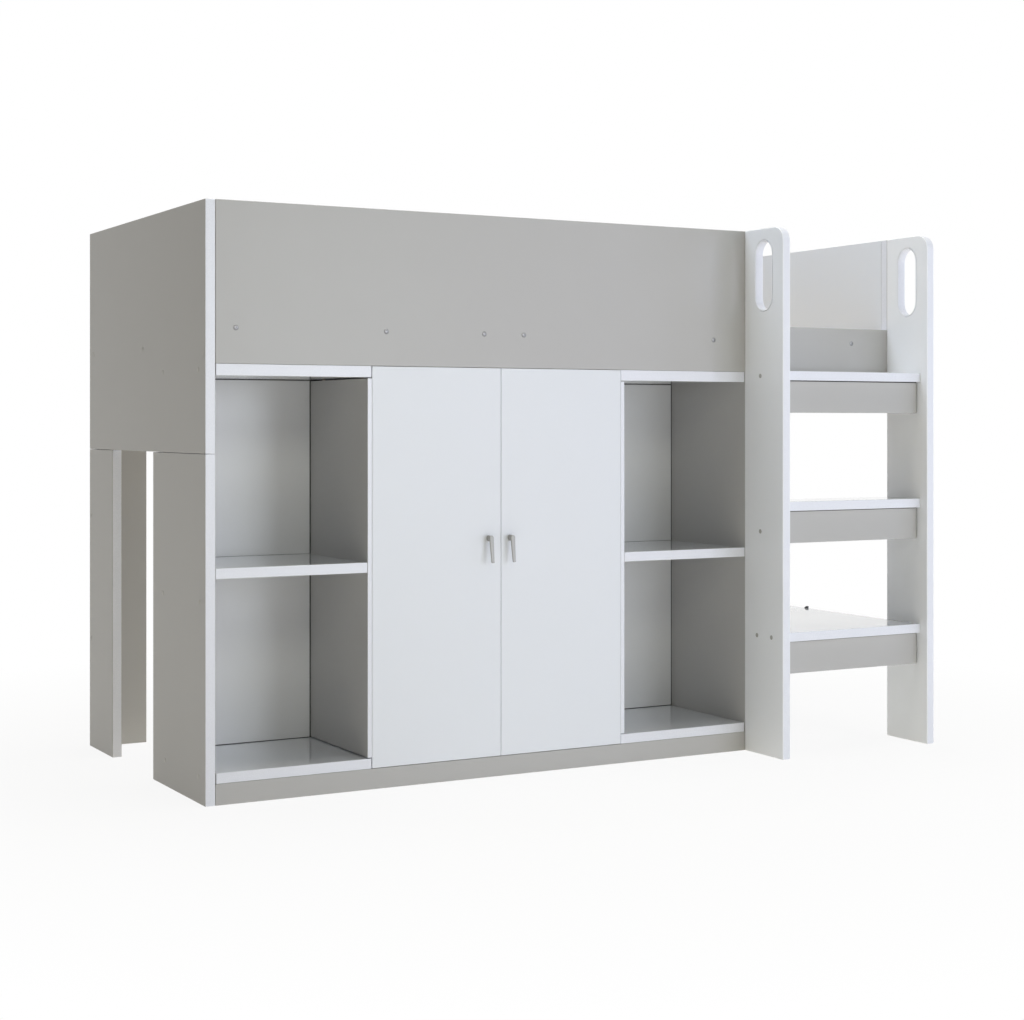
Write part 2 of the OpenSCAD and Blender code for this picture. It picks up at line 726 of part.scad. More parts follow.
// Outline of an upright in Y and Z, with its round top corner and grip slot
module upright_outline() difference() {
    translate([-ladder_reach, 0]) square([ladder_reach, bed_height]);
    translate([-ladder_reach, bed_height]) difference() {
        translate([-over, -upright_corner_r]) square([upright_corner_r + over, upright_corner_r + over]);
        translate([upright_corner_r, -upright_corner_r]) circle(r = upright_corner_r);
    }
    translate([-ladder_reach / 2, grip_slot_z]) {
        square([grip_slot_w, grip_slot_l - grip_slot_w], center = true);
        for (z = [-1, 1] * (grip_slot_l - grip_slot_w) / 2) translate([0, z]) circle(d = grip_slot_w);
    }
}
module ladder_left_upright() color(laminate_white) difference() {
    across_x(upright_left, board) upright_outline();
    on_face(upright_screws, upright_left) panel_screw_bore();
    on_face(upright_blanks, upright_left) cap_bore();
    upright_dowels(fit);
    tread_dowels(fit);
}
module ladder_right_upright() color(laminate_white) difference() {
    across_x(upright_right, board) upright_outline();
    on_face(upright_screws, bed_length, true) panel_screw_bore();
    on_face(upright_blanks, bed_length, true) cap_bore();
    upright_dowels(fit);
    tread_dowels(fit);
}

module tread_board(top, rear) difference() {
    block([storage_w, tread_front, top - board], [inner_right, rear, top]);
    on_face(upright_screws, upright_left) panel_screw_bore();
    on_face(concat(upright_screws, right_leg_deck_screw), bed_length, true) panel_screw_bore();
    tread_dowels(fit);
}
module top_tread() color(laminate_white) tread_board(tread_tops[0], 0);
module middle_tread() color(laminate_white) tread_board(tread_tops[1], 0);
// The lowest tread is a deck that runs back to the rear leg
module lower_deck() color(laminate_white) tread_board(tread_tops[2], rear_inner);

module riser_board(top) difference() {
    block([storage_w, riser_front, top - board - riser_h],
          [inner_right, riser_front + board, top - board]);
    tread_dowels(fit);
}
module top_riser() color(panel_grey) riser_board(tread_tops[0]);
module middle_riser() color(panel_grey) riser_board(tread_tops[1]);
module lower_riser() color(panel_grey) riser_board(tread_tops[2]);

// Batten on the storage unit's side, under the deck's edge
module deck_batten() color(panel_grey) difference() {
    block([storage_w, batten_ends[0], batten_top - board],
          [storage_w + board, batten_ends[1], batten_top]);
    batten_dowels(fit);
}
// Small wedge on the deck, its tall end towards the front
module deck_edge_block() color(plastic_black) {
    front = edge_block_y - edge_block_l / 2;
    across_x(inner_right - edge_block_w, edge_block_w) translate([front, tread_tops[2]]) polygon([
        [0, 0], [edge_block_l, 0], [edge_block_l, edge_block_h / 3],
        [edge_block_l / 3, edge_block_h], [0, edge_block_h]
    ]);
}

// ---------- mattress support ----------

// Screws down through each end of each slat, their heads sunk level with its top
slat_screw_l = slat_t - small_head_h + slat_screw_bite;
module at_slat_screws() for (x = slat_places, y = [board * 1.5, rear_inner - board / 2])
    translate([x + slat_w / 2, y, slat_top - small_head_h]) rotate([-90, 0, 0]) children();
module slat_screw_bores() at_slat_screws() {
    small_bore(slat_screw_l);
    translate([0, -small_head_h - over, 0]) rod_y(small_head_d + 2 * fit, small_head_h + over);
}
module slat_screws() color(steel) at_slat_screws() small_screw(slat_screw_l);

module front_cleat() color(slat_wood) difference() {
    block([inner_left, board, unit_height], [inner_right, 2 * board, cleat_top]);
    bolt_bores();
    slat_screw_bores();
}
module centre_beam() color(slat_wood) difference() {
    block([inner_left, beam_mid - board / 2, unit_height], [inner_right, beam_mid + board / 2, cleat_top]);
    on_face(left_panel_screws, 0) panel_screw_bore();
    on_face(right_panel_screws, bed_length, true) panel_screw_bore();
}
module rear_cleat() color(slat_wood) difference() {
    block([inner_left, rear_inner - board, unit_height], [inner_right, rear_inner, cleat_top]);
    on_face(left_panel_screws, 0) panel_screw_bore();
    on_face(right_panel_screws, bed_length, true) panel_screw_bore();
    slat_screw_bores();
    rear_cleat_bores();
}
// Screws along +Y from the rear cleat's inner face into the rear guard
module at_rear_cleat() for (x = rear_screw_places) translate([x, rear_inner - board, cleat_mid]) children();
module rear_cleat_bores() at_rear_cleat() small_bore(rear_screw_l);
module rear_cleat_screws() color(steel) at_rear_cleat() small_screw(rear_screw_l);

module slats() color(slat_wood) difference() {
    for (x = slat_places)
        block([x, board + slat_clearance, cleat_top], [x + slat_w, rear_inner - slat_clearance, slat_top]);
    slat_screw_bores();
}

// ---------- the bed ----------

in_place() {
    left_end_panel();
    right_end_panel();
    front_guard();
    entry_rail();
    rear_guard();
    storage_left_side();
    storage_right_side();
    storage_top();
    storage_base();
    front_plinth();
    rear_plinth();
    storage_back();
    left_partition();
    right_partition();
    left_bay_shelf();
    right_bay_shelf();
    cupboard_shelf();
    shelf_pins();
    left_door();
    right_door();
    left_handle();
    right_handle();
    left_handle_screw();
    right_handle_screw();
    left_hinge_arms();
    right_hinge_arms();
    left_hinge_leaves();
    right_hinge_leaves();
    left_hinge_pins();
    right_hinge_pins();
    hinge_arm_screws();
    left_leaf_screws();
    right_leaf_screws();
    ladder_left_upright();
    ladder_right_upright();
    top_tread();
    middle_tread();
    lower_deck();
    top_riser();
    middle_riser();
    lower_riser();
    deck_batten();
    deck_edge_block();
    left_leg_side();
    left_leg_back();
    right_leg_side();
    right_leg_back();
    front_cleat();
    centre_beam();
    rear_cleat();
    slats();
    slat_screws();
    rear_cleat_screws();
    guard_bolts();
    guard_bolt_nuts();
    panel_screws();
    cover_caps();
    dowels();
}
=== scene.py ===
"""Looks of a cabin bed: laminated boards with rounded edge bands, dressed round a fixed frame.

All sizes are in metres, in the frame's own axes: +X along the bed to its ladder, +Y to the
back and +Z up, with the origin on the floor under the middle of the object.
"""

import logging
import math
from dataclasses import dataclass, field
from enum import Enum
from typing import Callable, Sequence

import bmesh
import bpy
import numpy as np
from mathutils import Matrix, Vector
from mathutils.geometry import tessellate_polygon


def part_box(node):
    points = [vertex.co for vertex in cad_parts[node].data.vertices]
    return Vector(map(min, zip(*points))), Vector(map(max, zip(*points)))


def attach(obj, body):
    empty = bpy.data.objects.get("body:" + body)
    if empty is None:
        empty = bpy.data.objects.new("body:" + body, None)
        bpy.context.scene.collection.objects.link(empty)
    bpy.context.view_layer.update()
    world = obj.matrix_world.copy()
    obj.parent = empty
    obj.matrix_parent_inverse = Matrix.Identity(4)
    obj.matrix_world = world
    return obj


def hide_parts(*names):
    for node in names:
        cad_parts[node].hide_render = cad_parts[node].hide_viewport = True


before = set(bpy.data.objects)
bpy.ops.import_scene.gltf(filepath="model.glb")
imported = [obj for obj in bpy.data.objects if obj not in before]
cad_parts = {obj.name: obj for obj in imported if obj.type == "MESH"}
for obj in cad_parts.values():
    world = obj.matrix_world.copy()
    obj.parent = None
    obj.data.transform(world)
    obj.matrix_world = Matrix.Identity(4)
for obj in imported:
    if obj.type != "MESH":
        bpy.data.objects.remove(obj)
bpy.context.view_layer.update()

LOG = logging.getLogger("cabin_bed")
Point = Sequence[float]
Colour = tuple[float, float, float]
Array = np.ndarray
Outline = tuple[Array, Array]
Pick = Callable[[Array], Array]

# Edge radii, from the finest joint to a board's eased corner
CRISP, FINE, SOFT = 0.0002, 0.0006, 0.0008
# An outline's corner is rounder than the rim along it by this factor
CORNER = 1.3


def linear(colour: Colour) -> Colour:
    """Turns a colour as a screen shows it, from 0 to 255, into linear light.

    Args:
        colour: The three levels of the screen.

    Returns:
        The three linear levels, from 0 to 1.
    """
    level = np.array(colour) / 255.0
    light = np.where(level <= 0.04045, level / 12.92, ((level + 0.055) / 1.055) ** 2.4)
    return tuple(float(v) for v in light)


# ---------- shader graphs


def operator(operation: str, turned: bool = False) -> Callable[["Wire", "Wire | float"], "Wire"]:
    """A Python operator that adds a Math node for its two values, turned round if asked."""

    def act(wire: "Wire", other: "Wire | float") -> "Wire":
        """The operator itself."""
        values = (other, wire) if turned else (wire, other)
        return wire.graph.node("ShaderNodeMath", {"operation": operation}, *values)

    return act


class Wire:
    """One output socket. Arithmetic on wires adds Math nodes to their graph."""

    __add__, __radd__ = operator("ADD"), operator("ADD", True)
    __sub__, __rsub__ = operator("SUBTRACT"), operator("SUBTRACT", True)
    __mul__, __rmul__ = operator("MULTIPLY"), operator("MULTIPLY", True)
    __truediv__, __pow__ = operator("DIVIDE"), operator("POWER")

    def __init__(self, graph: "Graph", socket: bpy.types.NodeSocket | None) -> None:
        """Wraps a socket of a graph."""
        self.graph = graph
        self.socket = socket

    def apply(self, operation: str, *values: "Wire | float") -> "Wire":
        """Any other Math operation with this wire first, such as FLOOR or SINE."""
        return self.graph.node("ShaderNodeMath", {"operation": operation}, self, *values)


class Graph:
    """A material's or the world's node tree, cleared and ready to be drawn."""

    def __init__(self, owner: "bpy.types.Material | bpy.types.World") -> None:
        """Clears the owner's nodes."""
        owner.use_nodes = True
        self.tree = owner.node_tree
        self.tree.nodes.clear()

    def _feed(self, socket: bpy.types.NodeSocket, value: "Wire | float | Point") -> None:
        """Joins a wire to a socket, or gives the socket a value of its own."""
        if isinstance(value, Wire):
            self.tree.links.new(value.socket, socket)
        else:
            socket.default_value = value

    def node(
        self,
        kind: str,
        settings: dict[str, object] | None = None,
        *inputs: "Wire | float | Point",
        out: "int | str" = 0,
        **named: "Wire | float | Point",
    ) -> Wire:
        """Adds a node and joins it up.

        Args:
            kind: The node's type name.
            settings: Its settings, set first.
            *inputs: Values or wires for its sockets, in their order.
            out: The output that is returned, by place or by name.
            **named: Values or wires by socket name, with _ for a space.

        Returns:
            The chosen output.
        """
        made = self.tree.nodes.new(kind)
        for key, value in (settings or {}).items():
            setattr(made, key, value)
        for socket, value in zip(made.inputs, inputs):
            self._feed(socket, value)
        for name, value in named.items():
            self._feed(made.inputs[name.replace("_", " ")], value)
        return Wire(self, made.outputs[out] if len(made.outputs) else None)

    def object_coordinates(self) -> Wire:
        """The piece's own coordinates, which are the frame's, in metres."""
        return self.node("ShaderNodeTexCoord", out="Object")

    def noise(self, scale: float, detail: float = 2.0, where: Wire | None = None) -> Wire:
        """A noise level about 0.5, with features 1/scale metres wide."""
        where = where or self.object_coordinates()
        return self.node("ShaderNodeTexNoise", None, Vector=where, Scale=scale, Detail=detail)

    def split(self, vector: Wire) -> tuple[Wire, Wire, Wire]:
        """The X, Y and Z of a vector."""
        outputs = self.node("ShaderNodeSeparateXYZ", None, vector).socket.node.outputs
        return tuple(Wire(self, outputs[n]) for n in range(3))

    def blend(self, factor: "Wire | float", low: "Wire | Colour", high: "Wire | Colour") -> Wire:
        """Mixes two colours."""
        mixed = self.node("ShaderNodeMix", {"data_type": "RGBA"}, out=2)
        factor_in, low_in, high_in = (mixed.socket.node.inputs[place] for place in (0, 6, 7))
        self._feed(factor_in, factor)
        for socket, colour in ((low_in, low), (high_in, high)):
            self._feed(socket, colour if isinstance(colour, Wire) else (*colour, 1.0))
        return mixed

    def bump(self, height: Wire, depth: float, strength: float) -> Wire:
        """A normal from a height level, of this depth in metres."""
        return self.node("ShaderNodeBump", None, Strength=strength, Distance=depth, Height=height,
                         out="Normal")

    def seen(self) -> Wire:
        """1 for rays from the camera and for glossy rays, and 0 for all others."""
        rays = self.node("ShaderNodeLightPath").socket.node.outputs
        return Wire(self, rays["Is Camera Ray"]).apply("MAXIMUM", Wire(self, rays["Is Glossy Ray"]))

    def finish(self, shader: Wire, kind: str = "ShaderNodeOutputMaterial") -> None:
        """Joins the shader to the output."""
        self.node(kind, None, shader)


# ---------- finishes


@dataclass(frozen=True)
class Grain:
    """One noise of a finish, and how much it changes.

    Attributes:
        scale: Its features in a metre.
        detail: Its finer layers.
        shade: How much it lightens and darkens the colour.
        rough: How much it changes the roughness.
    """

    scale: float
    detail: float
    shade: float = 0.0
    rough: float = 0.0


@dataclass(frozen=True)
class Skin:
    """A finish of one colour that noises shade and texture. Each kind of finish is a subclass.

    Attributes:
        name: The finish's name.
        colour: Screen colour, 0 to 255.
        roughness: Middle roughness.
        fine: The finest noise, which also gives the relief.
        broad: Any wider noises.
        depth: Depth of the relief, in metres.
        strength: Strength of the relief, from 0 to 1.
        spread: Share of the colour by which the darkest and lightest shades differ from it.
        index: Index of refraction.
        metallic: 1 for bare or plated metal.
        shine: Level of the skin's reflection, where 0.5 is plain.
        polish: Weight of a clear polished coat over the skin.
    """

    name: str
    colour: Colour
    roughness: float = 0.3
    fine: Grain = Grain(1000.0, 1.0)
    broad: tuple[Grain, ...] = ()
    depth: float = 0.00002
    strength: float = 0.5
    spread: float = 0.14
    index: float = 1.5
    metallic: float = 0.0
    shine: float = 0.5
    polish: float = 0.0

    def build(self) -> bpy.types.Material:
        """Draws the finish.

        Returns:
            The material.
        """
        material = bpy.data.materials.new(self.name)
        graph = Graph(material)
        shade, rough = 0.5, self.roughness
        for grain in (*self.broad, self.fine):
            level = graph.noise(grain.scale, grain.detail)
            shade = (level - 0.5) * grain.shade + shade
            rough = (level - 0.5) * grain.rough + rough
        base = linear(self.colour)
        darkest = tuple(c * (1 - self.spread) for c in base)
        lightest = tuple(min(1.0, c * (1 + self.spread)) for c in base)
        graph.finish(graph.node(
            "ShaderNodeBsdfPrincipled", None,
            Base_Color=graph.blend(shade, darkest, lightest), Roughness=rough, IOR=self.index,
            Metallic=self.metallic, Specular_IOR_Level=self.shine, Coat_Weight=self.polish,
            Coat_Roughness=0.06, Normal=graph.bump(level, self.depth, self.strength),
        ))
        return material


@dataclass(frozen=True)
class Laminate(Skin):
    """Melamine-faced board: a satin skin with a fine pearl and faint broad unevenness."""

    fine: Grain = Grain(1400.0, 1.0, 0.03, 0.04)
    broad: tuple[Grain, ...] = (Grain(1.7, 3.0, shade=0.05), Grain(11.0, 2.0, rough=0.05))
    depth: float = 0.000012


@dataclass(frozen=True)
class EdgeBand(Skin):
    """Plastic edge band, with a finer skin than the board's."""

    roughness: float = 0.27
    fine: Grain = Grain(500.0, 1.0, rough=0.06)
    broad: tuple[Grain, ...] = (Grain(4.0, 2.0, 0.06, 0.04),)
    depth: float = 0.000015
    strength: float = 0.4
    spread: float = 0.13


@dataclass(frozen=True)
class Metal(Skin):
    """Plated or painted metal, with fine brush marks or casting grain."""

    fine: Grain = Grain(900.0, 2.0, rough=0.12)
    broad: tuple[Grain, ...] = (Grain(60.0, 2.0, 0.3, 0.08),)
    depth: float = 0.00003
    strength: float = 0.4
    spread: float = 0.15
    metallic: float = 1.0


@dataclass(frozen=True)
class Plastic(Skin):
    """Moulded plastic with a fine spark-eroded texture."""

    fine: Grain = Grain(1800.0, 1.0, rough=0.1)
    broad: tuple[Grain, ...] = (Grain(90.0, 2.0, shade=0.2),)
    spread: float = 0.12
    index: float = 1.46


@dataclass(frozen=True)
class Pine:
    """Planed softwood with its grain along one axis.

    Growth rings are sine bands across and through the timber, bent by a noise that drifts
    slowly along it. Fibres are a fine noise drawn out along it.

    Attributes:
        name: The finish's name.
        grain: The axis along the grain: 0 for X, 1 for Y.
        pitch: Distance between separate slats along X, so that each has its own cut of wood,
            or 0 for one piece.
        cuts: How far two slats' cuts differ in the noise, and in the rings' angle for that.
        rings: Angle that the rings gain in a metre across and through the timber, in radians.
        bend: How far the drifting noise bends them, in radians.
        narrow: Power that narrows the rings' dark bands.
        drift: The drifting noise's features in a metre, along the grain and across.
        fibres: The fibres' features in a metre, along the grain and across.
        colours: Screen colours of early wood, late wood and tinted patches.
        shares: How much late wood a band and a fibre bring, and how much tint a patch.
        roughness: Roughness of early wood, what a band takes off and what a fibre adds.
        relief: Depth of the relief in metres, its strength, and the fibres' share in it.
    """

    name: str
    grain: int
    pitch: float = 0.0
    cuts: tuple[float, float] = (3.77, 5.0)
    rings: tuple[float, float] = (150.0, 90.0)
    bend: float = 14.0
    narrow: float = 2.2
    drift: tuple[float, float] = (0.9, 6.0)
    fibres: tuple[float, float] = (9.0, 420.0)
    colours: tuple[Colour, ...] = ((233, 223, 203), (212, 190, 156), (228, 211, 182))
    shares: tuple[float, float, float] = (0.55, 0.25, 0.35)
    roughness: tuple[float, float, float] = (0.58, 0.1, 0.08)
    relief: tuple[float, float, float] = (0.00018, 0.6, 0.7)

    def build(self) -> bpy.types.Material:
        """Draws the finish.

        Returns:
            The material.
        """
        material = bpy.data.materials.new(self.name)
        graph = Graph(material)
        x, y, z = graph.split(graph.object_coordinates())
        along, across = (x, y) if self.grain == 0 else (y, x)
        apart, turn = self.cuts
        cut = (x / self.pitch).apply("FLOOR") * apart if self.pitch else 0.0

        def drawn_out(lengthwise: float, crosswise: float, shift: "Wire | float" = 0.0) -> Wire:
            """The place of a noise with these features in a metre, along the grain and across."""
            places = [along * lengthwise + shift, across * crosswise + shift, z * crosswise]
            return graph.node("ShaderNodeCombineXYZ", None, *places)

        place = drawn_out(*self.drift, cut)
        wide, deep = self.rings
        rings = across * wide + z * deep + graph.noise(1.0, 2.0, place) * self.bend + cut * turn
        band = (rings.apply("SINE") * 0.5 + 0.5) ** self.narrow
        fibre = graph.noise(1.0, 3.0, drawn_out(*self.fibres))
        early, late, tint = (linear(colour) for colour in self.colours)
        in_band, in_fibre, in_patch = self.shares
        wood = graph.blend(band * in_band + fibre * in_fibre, early, late)
        wood = graph.blend(graph.noise(2.3, 1.0, place) * in_patch, wood, tint)
        rough, smoother, rougher = self.roughness
        depth, strength, share = self.relief
        graph.finish(graph.node(
            "ShaderNodeBsdfPrincipled", None,
            Base_Color=wood, Roughness=rough - band * smoother + fibre * rougher, IOR=1.45,
            Normal=graph.bump(fibre * share + band * (1 - share), depth, strength),
        ))
        return material


class Finish(Enum):
    """The bed's finishes."""

    WHITE = Laminate("white_laminate", (231, 234, 239), 0.32, shine=0.35)
    POLISHED = Laminate("polished_white_laminate", (228, 231, 236), 0.1, depth=0.000004, polish=0.55)
    BACK = Laminate("white_back_laminate", (238, 239, 241), 0.34)
    GREY = Laminate("grey_laminate", (187, 186, 184), 0.24, shine=0.22)
    # The uprights' white, lighter than the laminate: partly their lacquer, partly painted light that the
    # lamps don't give their sides
    LACQUER = Laminate("white_lacquer_and_painted_light", (243, 248, 254), 0.4)
    WHITE_EDGE = EdgeBand("white_edge_band", (231, 233, 240))
    GREY_EDGE = EdgeBand("grey_edge_band", (185, 184, 181))
    SLAT_PINE = Pine("slat_pine", 1, 0.1437)
    CLEAT_PINE = Pine("cleat_pine", 0)
    DOWEL_PINE = Pine("dowel_pine", 0)
    HANDLE = Metal("handle_metal", (141, 138, 136), 0.34, Grain(700.0, 2.0, rough=0.12), metallic=0.85)
    STEEL = Metal("plated_steel", (188, 190, 193), 0.28)
    BOLT = Metal("bolt_steel", (150, 150, 151), 0.42, metallic=0.8)
    CAP = Plastic("cap_plastic", (172, 171, 166), 0.4)
    BLACK = Plastic("black_plastic", (34, 34, 36), 0.4)
    # Near-black stand-in for shade: painted shade in the back panel's corner lines and along the risers'
    # tops under the treads
    CORE = Plastic("painted_shade_strip", (62, 61, 59), 0.8)

    def material(self) -> bpy.types.Material:
        """The finish's material, drawn the first time that it is asked for."""
        return bpy.data.materials.get(self.value.name) or self.value.build()


# ---------- outlines


def rectangle(low: Point, high: Point) -> Array:
    """A rectangle's corners, anticlockwise."""
    return np.array([[low[0], low[1]], [high[0], low[1]], [high[0], high[1]], [low[0], high[1]]])


def edge_normals(corners: Array) -> tuple[Array, Array]:
    """The outward normals of the edges before and after each corner of an outline."""
    edges = np.roll(corners, -1, 0) - corners
    edges /= np.linalg.norm(edges, axis=1, keepdims=True)
    after = np.stack([edges[:, 1], -edges[:, 0]], 1)
    return np.roll(after, 1, 0), after


def drawn_in(corners: Array, distance: Array | float) -> Array:
    """An outline moved inwards: each corner shifts against the sum of its two edges' outward
    normals, divided by one plus their cosine, times the distance.

    Args:
        corners: The sharp outline, with the material on its left.
        distance: How far it moves, as one number or one for each corner.

    Returns:
        The new corners.
    """
    before, after = edge_normals(corners)
    share = (before + after) / (1 + (before * after).sum(1))[:, None]
    return corners - np.reshape(distance, (-1, 1)) * share


def rounded_loop(corners: Array, radii: Array | float, steps: int = 3) -> Outline:
    """An outline whose corners are arcs.

    Each arc's centre lies one radius inside both edges of its corner (outside for a corner that
    turns inward), and its points lie one radius from the centre, along a normal that turns
    evenly from one edge's to the other's.

    Args:
        corners: The sharp outline, with the material on its left.
        radii: One radius, or one for each corner.
        steps: Segments in each arc.

    Returns:
        The outline's points and their outward normals.
    """
    before, after = edge_normals(corners)
    turn = np.arctan2(before[:, 0] * after[:, 1] - before[:, 1] * after[:, 0], (before * after).sum(1))
    reach = np.broadcast_to(radii, len(corners)) * np.sign(turn)
    start = np.arctan2(before[:, 1], before[:, 0])
    angles = start[:, None] + turn[:, None] * np.linspace(0, 1, steps + 1)
    normals = np.stack([np.cos(angles), np.sin(angles)], -1)
    points = drawn_in(corners, reach)[:, None, :] + reach[:, None, None] * normals
    return points.reshape(-1, 2), normals.reshape(-1, 2)


# ---------- surfaces


def plane_of(axis: int) -> list[int]:
    """The two axes that follow an axis, as its plates' outlines are drawn."""
    return [(axis + 1) % 3, (axis + 2) % 3]


def lifted(axis: int, first: Array, second: Array, along: Array) -> Array:
    """Joins coordinates into rows of points or directions.

    Args:
        axis: An axis.
        first: Coordinates on the first axis of its plane.
        second: Coordinates on the plane's second axis.
        along: Coordinates on the axis itself.

    Returns:
        One row of X, Y and Z for each.
    """
    parts = [along] * 3
    parts[(axis + 1) % 3], parts[(axis + 2) % 3] = first, second
    return np.stack(np.broadcast_arrays(*parts), -1).reshape(-1, 3)


def read(items: bpy.types.bpy_prop_collection, name: str, width: int = 1, kind: type = float) -> Array:
    """A property of all of a mesh's points, corners or faces.

    Args:
        items: The points, corners or faces.
        name: The property.
        width: Numbers in each value.
        kind: The numbers' type.

    Returns:
        One row for each item, or one number where the width is 1.
    """
    values = np.zeros(len(items) * width, kind)
    items.foreach_get(name, values)
    return values if width == 1 else values.reshape(-1, width)


def grid_faces(rows: int, columns: int) -> Array:
    """Quads between neighbouring rows of a grid of points, whose rows close on themselves.

    Args:
        rows: Number of rows.
        columns: Points in each row.

    Returns:
        One row of four indices for each quad.
    """
    row, column = np.meshgrid(np.arange(rows - 1), np.arange(columns), indexing="ij")
    following = (column + 1) % columns
    low, high = row * columns, (row + 1) * columns
    quads = [low + column, low + following, high + following, high + column]
    return np.stack(quads, -1).reshape(-1, 4)


@dataclass
class Surface:
    """Points, their normals and faces, gathered into one mesh.

    Attributes:
        points: Arrays of points, one row each.
        normals: Arrays of unit normals, in step with the points.
        faces: Index tuples.
        slots: One material slot number for each face.
        count: Number of points so far.
    """

    points: list[Array] = field(default_factory=list)
    normals: list[Array] = field(default_factory=list)
    faces: list[tuple[int, ...]] = field(default_factory=list)
    slots: list[int] = field(default_factory=list)
    count: int = 0

    def add(self, points: Array, normals: Array, faces: Sequence[Sequence[int]],
            slots: Array) -> None:
        """Adds a patch.

        Args:
            points: Its points.
            normals: Its normals.
            faces: Its faces, counted from its own first point.
            slots: A slot number for each face.
        """
        self.points.append(points)
        self.normals.append(normals)
        self.faces += [tuple(int(v) + self.count for v in face) for face in faces]
        self.slots += [int(s) for s in slots]
        self.count += len(points)

    def slab(self, loops: Sequence[Outline], axis: int, low: float, high: float, radius: float,
             pick: Pick, steps: int = 2) -> None:
        """Adds a plate: outlines carried along an axis, with both rims rounded.

        At an angle t of the rim, from the wall (0) to the flat (90 degrees), a point lies
        radius * (1 - cos t) inside the outline and radius * (1 - sin t) below the flat, and its
        normal is cos t of the outline's normal plus sin t of the axis. The lower rim's t is
        negative.

        Args:
            loops: The outer outline and then its holes, in the plane of the two axes that
                follow this one.
            axis: The axis through the plate's thickness.
            low: The plate's lower face.
            high: The plate's upper face.
            radius: The rims' radius.
            pick: Gives each face its slot number from its normals.
            steps: Segments in each rim.
        """
        t = np.linspace(0, np.pi / 2, steps + 1)
        lean, stand = (wave(np.concatenate([-t[::-1], t])) for wave in (np.sin, np.cos))
        level = np.where(np.arange(len(lean)) <= steps,
                         low + radius * (1 + lean), high - radius * (1 - lean))
        inset = radius * (1 - stand)
        rows = len(level)
        start, rims = 0, ([], [])
        points, normals, faces = [], [], []
        for outline, out in loops:
            size = len(outline)
            flat = np.moveaxis(outline - out * inset[:, None, None], -1, 0)
            points.append(lifted(axis, *flat, level[:, None]))
            normals.append(lifted(axis, *(out.T[:, None] * stand[:, None]), lean[:, None]))
            faces += (grid_faces(rows, size) + start).tolist()
            rims[0].append(np.arange(size) + start)
            rims[1].append(np.arange(size) + start + (rows - 1) * size)
            start += rows * size
        points, normals = np.vstack(points), np.vstack(normals)
        for rim, under in zip(rims, (True, False)):
            order = np.concatenate(rim)
            outlines = [[Vector((*points[v][plane_of(axis)], 0.0)) for v in loop] for loop in rim]
            for corners in tessellate_polygon(outlines):
                a, b, c = (order[corner] for corner in corners)
                upward = np.cross(points[b] - points[a], points[c] - points[a])[axis] > 0
                faces.append([a, c, b] if upward == under else [a, b, c])
        middle = np.array([normals[np.array(face)].mean(0) for face in faces])
        middle /= np.linalg.norm(middle, axis=1, keepdims=True)
        self.add(points, normals, faces, pick(middle))

    def block(self, low: Point, high: Point, axis: int, rim: float, corner: float, pick: Pick,
              arc: int = 3, steps: int = 2) -> None:
        """Adds a plate that fills a box.

        Args:
            low: The box's lowest corner.
            high: The box's highest corner.
            axis: The axis through the plate's thickness.
            rim: The rims' radius.
            corner: Radius of the outline's corners.
            pick: Gives each face its slot number from its normals.
            arc: Segments in each corner.
            steps: Segments in each rim.
        """
        low, high, plane = np.array(low), np.array(high), plane_of(axis)
        loop = rounded_loop(rectangle(low[plane], high[plane]), corner, arc)
        self.slab([loop], axis, low[axis], high[axis], rim, pick, steps)

    def lathe(self, profile: Array, centre: Point, axis: int, sign: int, around: int,
              shape: Callable[[Array, Array], Array] | None = None) -> None:
        """Adds a turned form: a profile of radius and height carried round an axis.

        A point at angle a has its profile's radius along the cosine and sine of a, and its
        profile's height along the axis. Its normal is the profile's tangent turned a quarter.

        Args:
            profile: Rows of (radius, height), from the foot's middle to the top's middle.
            centre: The point where the height is 0.
            axis: The axis that it is turned round.
            sign: 1 to rise along the axis, -1 to rise against it.
            around: Points in each ring.
            shape: Changes the radius, given the rows' numbers and the angles, as for a hexagon.
        """
        a = np.linspace(0, 2 * np.pi, around, endpoint=False)
        radius = np.repeat(profile[:, :1], around, 1)
        if shape is not None:
            radius = radius * shape(np.arange(len(profile))[:, None], a[None])
        tangent = np.gradient(profile, axis=0)
        tangent /= np.maximum(np.linalg.norm(tangent, axis=1, keepdims=True), 1e-12)
        rise, out = tangent.T[..., None]
        points = lifted(axis, radius * np.cos(a), radius * np.sin(a) * sign, sign * profile[:, 1:])
        normals = lifted(axis, out * np.cos(a), out * np.sin(a) * sign, -sign * rise)
        faces = grid_faces(len(profile), around)
        self.add(points + centre, normals, faces, first_slot(faces))

    def mesh_object(self, name: str, finishes: Sequence[Finish]) -> bpy.types.Object:
        """Makes the object, with the normals worked out by the formulas.

        Args:
            name: The piece's name.
            finishes: The finishes of slots 0, 1 and so on.

        Returns:
            The new object, at the origin.
        """
        mesh = bpy.data.meshes.new(name)
        mesh.from_pydata(np.vstack(self.points).tolist(), [], self.faces)
        for finish in finishes:
            mesh.materials.append(finish.material())
        mesh.polygons.foreach_set("material_index", np.array(self.slots, np.int32))
        mesh.polygons.foreach_set("use_smooth", np.ones(len(self.faces), bool))
        mesh.update()
        mesh.normals_split_custom_set_from_vertices(np.vstack(self.normals).tolist())
        made = bpy.data.objects.new(name, mesh)
        bpy.context.scene.collection.objects.link(made)
        return made


def first_slot(rows: Array) -> Array:
    """Slot 0 for each row."""
    return np.zeros(len(rows))


